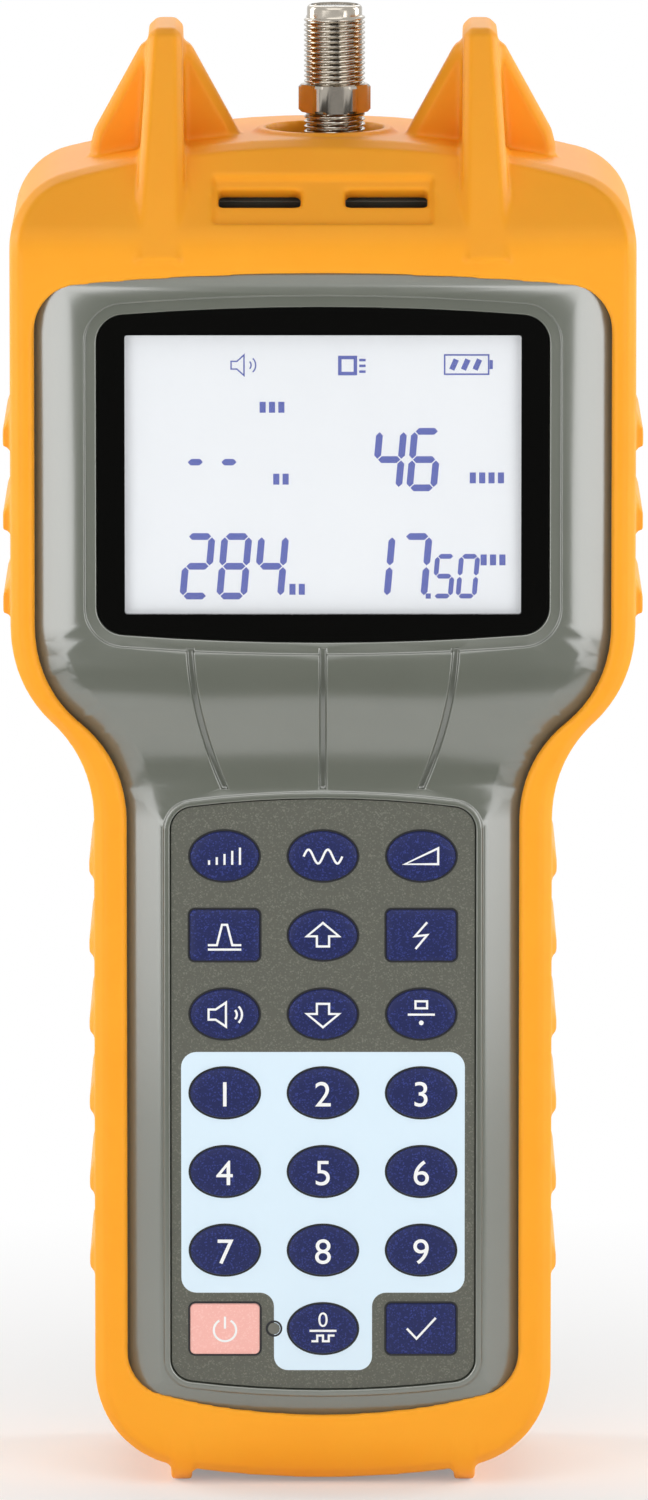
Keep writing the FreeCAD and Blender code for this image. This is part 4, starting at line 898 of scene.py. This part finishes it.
def fill_barrel(work):
    thread_top = barrel_high.z - NOSE_LENGTH
    count = round((thread_top - barrel_low.z) / THREAD_PITCH * ROWS_PER_TURN)
    levels = [barrel_low.z + (thread_top - barrel_low.z) * step / count for step in range(count + 1)]
    rings = [circle_points(thread_radius(z), z) for z in levels]
    rings.append(circle_points(NOSE_RADIUS, thread_top + THREAD_RUNOUT))
    for step in NOSE_TURNS:
        turn = math.radians(step)
        radius = NOSE_RADIUS - NOSE_ROUND * (1 - math.cos(turn))
        rings.append(circle_points(radius, barrel_high.z - NOSE_ROUND * (1 - math.sin(turn))))
    rings.append(circle_points(BORE_RADIUS, barrel_high.z))
    rings.append(circle_points(BORE_RADIUS, barrel_high.z - BORE_DEPTH))
    loft(work, rings)


def fill_hexagon(work):
    def flats(limit):
        def reach(turn):
            off = (turn - HEX_TURN + math.pi / 6) % (math.pi / 3) - math.pi / 6
            return min(limit, HEX_APOTHEM / math.cos(off))
        return reach
    core = THREAD_RADIUS - THREAD_DEPTH
    rings = [
        circle_points(core, HEX_LOW),
        circle_points(flats(HEX_TURNED - HEX_BEVEL), HEX_LOW),
        circle_points(flats(HEX_TURNED), HEX_LOW + HEX_BEVEL),
        circle_points(flats(HEX_TURNED), HEX_HIGH - HEX_BEVEL),
        circle_points(flats(HEX_TURNED - HEX_BEVEL), HEX_HIGH),
        circle_points(core, HEX_HIGH),
    ]
    loft(work, rings + rings[:1], cap_first=False, cap_last=False)


barrel = new_piece(
    "barrel_thread", new_mesh("barrel", fill_barrel), NICKEL, smooth_deg=40,
)
hexagon = new_piece(
    "barrel_hexagon", new_mesh("hexagon", fill_hexagon), NICKEL, smooth_deg=20,
)
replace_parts(barrel, "port_barrel")
print("port faces:", len(barrel.data.polygons) + len(hexagon.data.polygons))

# %% [markdown]
# ## Screws
# Five zinc-plated pan-head screws hold the case and the battery door, each with a cross recess.

# %% Screws
HEAD_RADIUS, HEAD_HEIGHT = 2.5 * MM, 2.0 * MM
SHANK_RADIUS = 1.45 * MM
TIP_RADIUS = SHANK_RADIUS / 3
HEAD_WALL = 0.9 * MM
HEAD_TURNS = (25, 50, 70, 85)
CROSS_REACH, CROSS_BAR, CROSS_DEPTH = 1.4 * MM, 0.4 * MM, 1.1 * MM
SCREW_POINTS = 32
screws_low, screws_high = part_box("case_screws")
HEAD_PLACE, GRIP_PLACE = (37.2 * MM, 178.4 * MM), (22.5 * MM, 16.4 * MM)
CASE_PLACES = [(side * x, z) for x, z in (HEAD_PLACE, GRIP_PLACE) for side in (-1, 1)]


def fill_screws(places, tip, top):
    """Screws from the tip of the shank to the crown of the head, driven in from the back."""
    seat = top - HEAD_HEIGHT
    steps = [(TIP_RADIUS, tip), (SHANK_RADIUS, tip + SHANK_RADIUS), (SHANK_RADIUS, seat)]
    steps += [(HEAD_RADIUS, seat), (HEAD_RADIUS, seat + HEAD_WALL)]
    for turn in HEAD_TURNS:
        bend = math.radians(turn)
        rise = (HEAD_HEIGHT - HEAD_WALL) * math.sin(bend)
        steps.append((HEAD_RADIUS * math.cos(bend), seat + HEAD_WALL + rise))

    def fill(work):
        turns = [2 * math.pi * step / SCREW_POINTS for step in range(SCREW_POINTS)]
        for x, z in places:
            loft(work, [[(x + r * math.cos(t), y, z + r * math.sin(t)) for t in turns] for r, y in steps])

    return fill


def fill_crosses(places, top):
    """The drivers' cross tips that sink the recesses."""
    arm = [(CROSS_REACH, -CROSS_BAR), (CROSS_REACH, CROSS_BAR), (CROSS_BAR, CROSS_BAR)]
    cross = []
    for quarter in range(4):
        cross += arm
        arm = [(-z, x) for x, z in arm]

    def fill(work):
        for x, z in places:
            plate(work, [(x + u, z + v) for u, v in cross], top - CROSS_DEPTH, top + CROSS_DEPTH)

    return fill


def recessed(name, places, low, high):
    """A mesh of screws with a cross sunk in each head."""
    blank = new_object(name + "_blank", new_mesh(name, fill_screws(places, low, high)))
    tips = new_object(name + "_tips", new_mesh(name + "_tips", fill_crosses(places, high)))
    sink = blank.modifiers.new("recess", "BOOLEAN")
    sink.object = tips
    mesh = as_shown(blank)
    bpy.data.objects.remove(blank)
    bpy.data.objects.remove(tips)
    return mesh


door_low, door_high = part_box("door_screw")
door_place = [((door_low.x + door_high.x) / 2, (door_low.z + door_high.z) / 2)]
case_mesh = recessed("case_pan_heads", CASE_PLACES, screws_low.y, screws_high.y)
door_mesh = recessed("door_pan_head", door_place, door_low.y, door_high.y)
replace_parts(new_piece("case_pan_heads", case_mesh, ZINC), "case_screws")
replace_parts(new_piece("door_pan_head", door_mesh, ZINC), "door_screw")

# %% [markdown]
# ## Floor, light and camera
# The meter stands on a white floor under soft studio light: a broad lamp above, a tall strip close by on
# either side, which draws the bright bands along the flanks, and softer lamps behind. A dark card lies in
# front, as a photographer would lay one. It shows only in reflections, and keeps the window and the flats
# of the port dark. The camera looks slightly down from far off.

# %% Floor
NEAR_GLOW, FAR_GLOW, SHADOW_REACH = 0.2, 1.0, 0.22
WHITE_GLOW, ROOM_LIGHT = 1.0, 0.17
FLOOR_HALF = 3.0
CARD_HALF, CARD_NEAR, CARD_FAR, CARD_LIFT = 0.5, -0.2, -2.2, 0.001


def seen_share(tree):
    """One where the camera, a reflection or clear glass looks at the background, and zero elsewhere."""
    path = add_node(tree, "ShaderNodeLightPath")
    seen = path.outputs["Is Camera Ray"]
    for ray in ("Is Glossy Ray", "Is Transmission Ray"):
        rays = {0: seen, 1: path.outputs[ray]}
        seen = add_node(tree, "ShaderNodeMath", rays, operation="MAXIMUM").outputs[0]
    return seen


def studio_white():
    """A floor that is white far off to the camera and in reflections, and keeps the shadow near the meter."""
    made = bpy.data.materials.new("studio_white")
    made.use_nodes = True
    tree = made.node_tree
    tree.nodes.clear()
    place = add_node(tree, "ShaderNodeTexCoord").outputs["Object"]
    near = add_node(tree, "ShaderNodeVectorMath", {0: place, "Scale": 1 / SHADOW_REACH}, operation="SCALE")
    fade = add_node(tree, "ShaderNodeTexGradient", {"Vector": near.outputs[0]}, gradient_type="SPHERICAL")
    reach = {"Value": fade.outputs["Fac"], "To Min": FAR_GLOW, "To Max": NEAR_GLOW}
    lift = add_node(tree, "ShaderNodeMapRange", reach)
    inputs = {0: seen_share(tree), 1: lift.outputs["Result"]}
    share = add_node(tree, "ShaderNodeMath", inputs, operation="MULTIPLY")
    matt = add_node(tree, "ShaderNodeBsdfDiffuse", {"Color": colour("f2f2f2")})
    glow = add_node(tree, "ShaderNodeEmission", {"Color": colour("ffffff"), "Strength": WHITE_GLOW})
    parts = {0: share.outputs[0], 1: matt.outputs[0], 2: glow.outputs[0]}
    both = add_node(tree, "ShaderNodeMixShader", parts)
    add_node(tree, "ShaderNodeOutputMaterial", {"Surface": both.outputs[0]})
    return made


def stage_sheet(name, half_wide, near, far, level, material):
    """A flat sheet that belongs to the studio."""
    mesh = bpy.data.meshes.new(name)
    ends = ((-half_wide, near), (half_wide, near), (half_wide, far), (-half_wide, far))
    mesh.from_pydata([(x, y, level) for x, y in ends], [], [(0, 1, 2, 3)])
    sheet = new_object(name, mesh)
    paint(sheet, material)
    return sheet


stage_sheet("floor", FLOOR_HALF, -FLOOR_HALF, FLOOR_HALF, 0.0, studio_white())
card_black = screen_ink("black_card", "101010", 0.9)
card = stage_sheet("dark_card", CARD_HALF, CARD_FAR, CARD_NEAR, CARD_LIFT, card_black)
card.visible_camera = False
card.visible_diffuse = False
card.visible_shadow = False

# %% Light
world = bpy.data.worlds.new("studio")
bpy.context.scene.world = world
world.use_nodes = True
tree = world.node_tree
tree.nodes.clear()
room = add_node(tree, "ShaderNodeBackground", {"Color": colour("ffffff"), "Strength": ROOM_LIGHT})
white = add_node(tree, "ShaderNodeBackground", {"Color": colour("ffffff"), "Strength": WHITE_GLOW})
mixed = add_node(tree, "ShaderNodeMixShader", {0: seen_share(tree), 1: room.outputs[0], 2: white.outputs[0]})
add_node(tree, "ShaderNodeOutputWorld", {"Surface": mixed.outputs[0]})

MIDDLE = Vector((0, 0, 0.12))
LAMPS = {
    "top": ((0.0, -0.55, 0.95), (0.9, 0.7), 2.8),
    "left_strip": ((-0.237, -0.326, 0.14), (0.22, 0.28), 0.5),
    "right_strip": ((0.237, -0.326, 0.14), (0.22, 0.28), 0.5),
    "left_rim": ((-0.9, 0.3, 0.3), (0.3, 0.9), 6.5),
    "right_rim": ((0.9, 0.3, 0.3), (0.3, 0.9), 6.5),
    "back": ((0.0, 0.9, 0.8), (0.9, 0.6), 3.0),
}
for name, (place, size, watts) in LAMPS.items():
    light = bpy.data.lights.new(name, "AREA")
    light.shape = "RECTANGLE"
    light.size, light.size_y = size
    light.energy = watts
    lamp = new_object(name, light)
    lamp.location = place
    lamp.rotation_euler = (MIDDLE - Vector(place)).to_track_quat("-Z", "Y").to_euler()

# %% Camera
FRAME_PIXELS = (648, 1500)
MM_PER_PIXEL = 0.155
DISTANCE = 2.3
ELEVATION = math.radians(8.5)
AIM = Vector((0.16, -24.0, 117.1)) * MM
camera_data = bpy.data.cameras.new("camera")
camera_data.sensor_fit = "VERTICAL"
camera_data.sensor_height = 24.0
frame_height = FRAME_PIXELS[1] * MM_PER_PIXEL * MM
camera_data.lens = camera_data.sensor_height * DISTANCE / frame_height
camera = new_object("camera", camera_data)
away = Vector((0, -math.cos(ELEVATION), math.sin(ELEVATION)))
camera.location = AIM + away * DISTANCE
camera.rotation_euler = (-away).to_track_quat("-Z", "Y").to_euler()
bpy.context.scene.camera = camera
bpy.context.scene.view_settings.view_transform = "Standard"
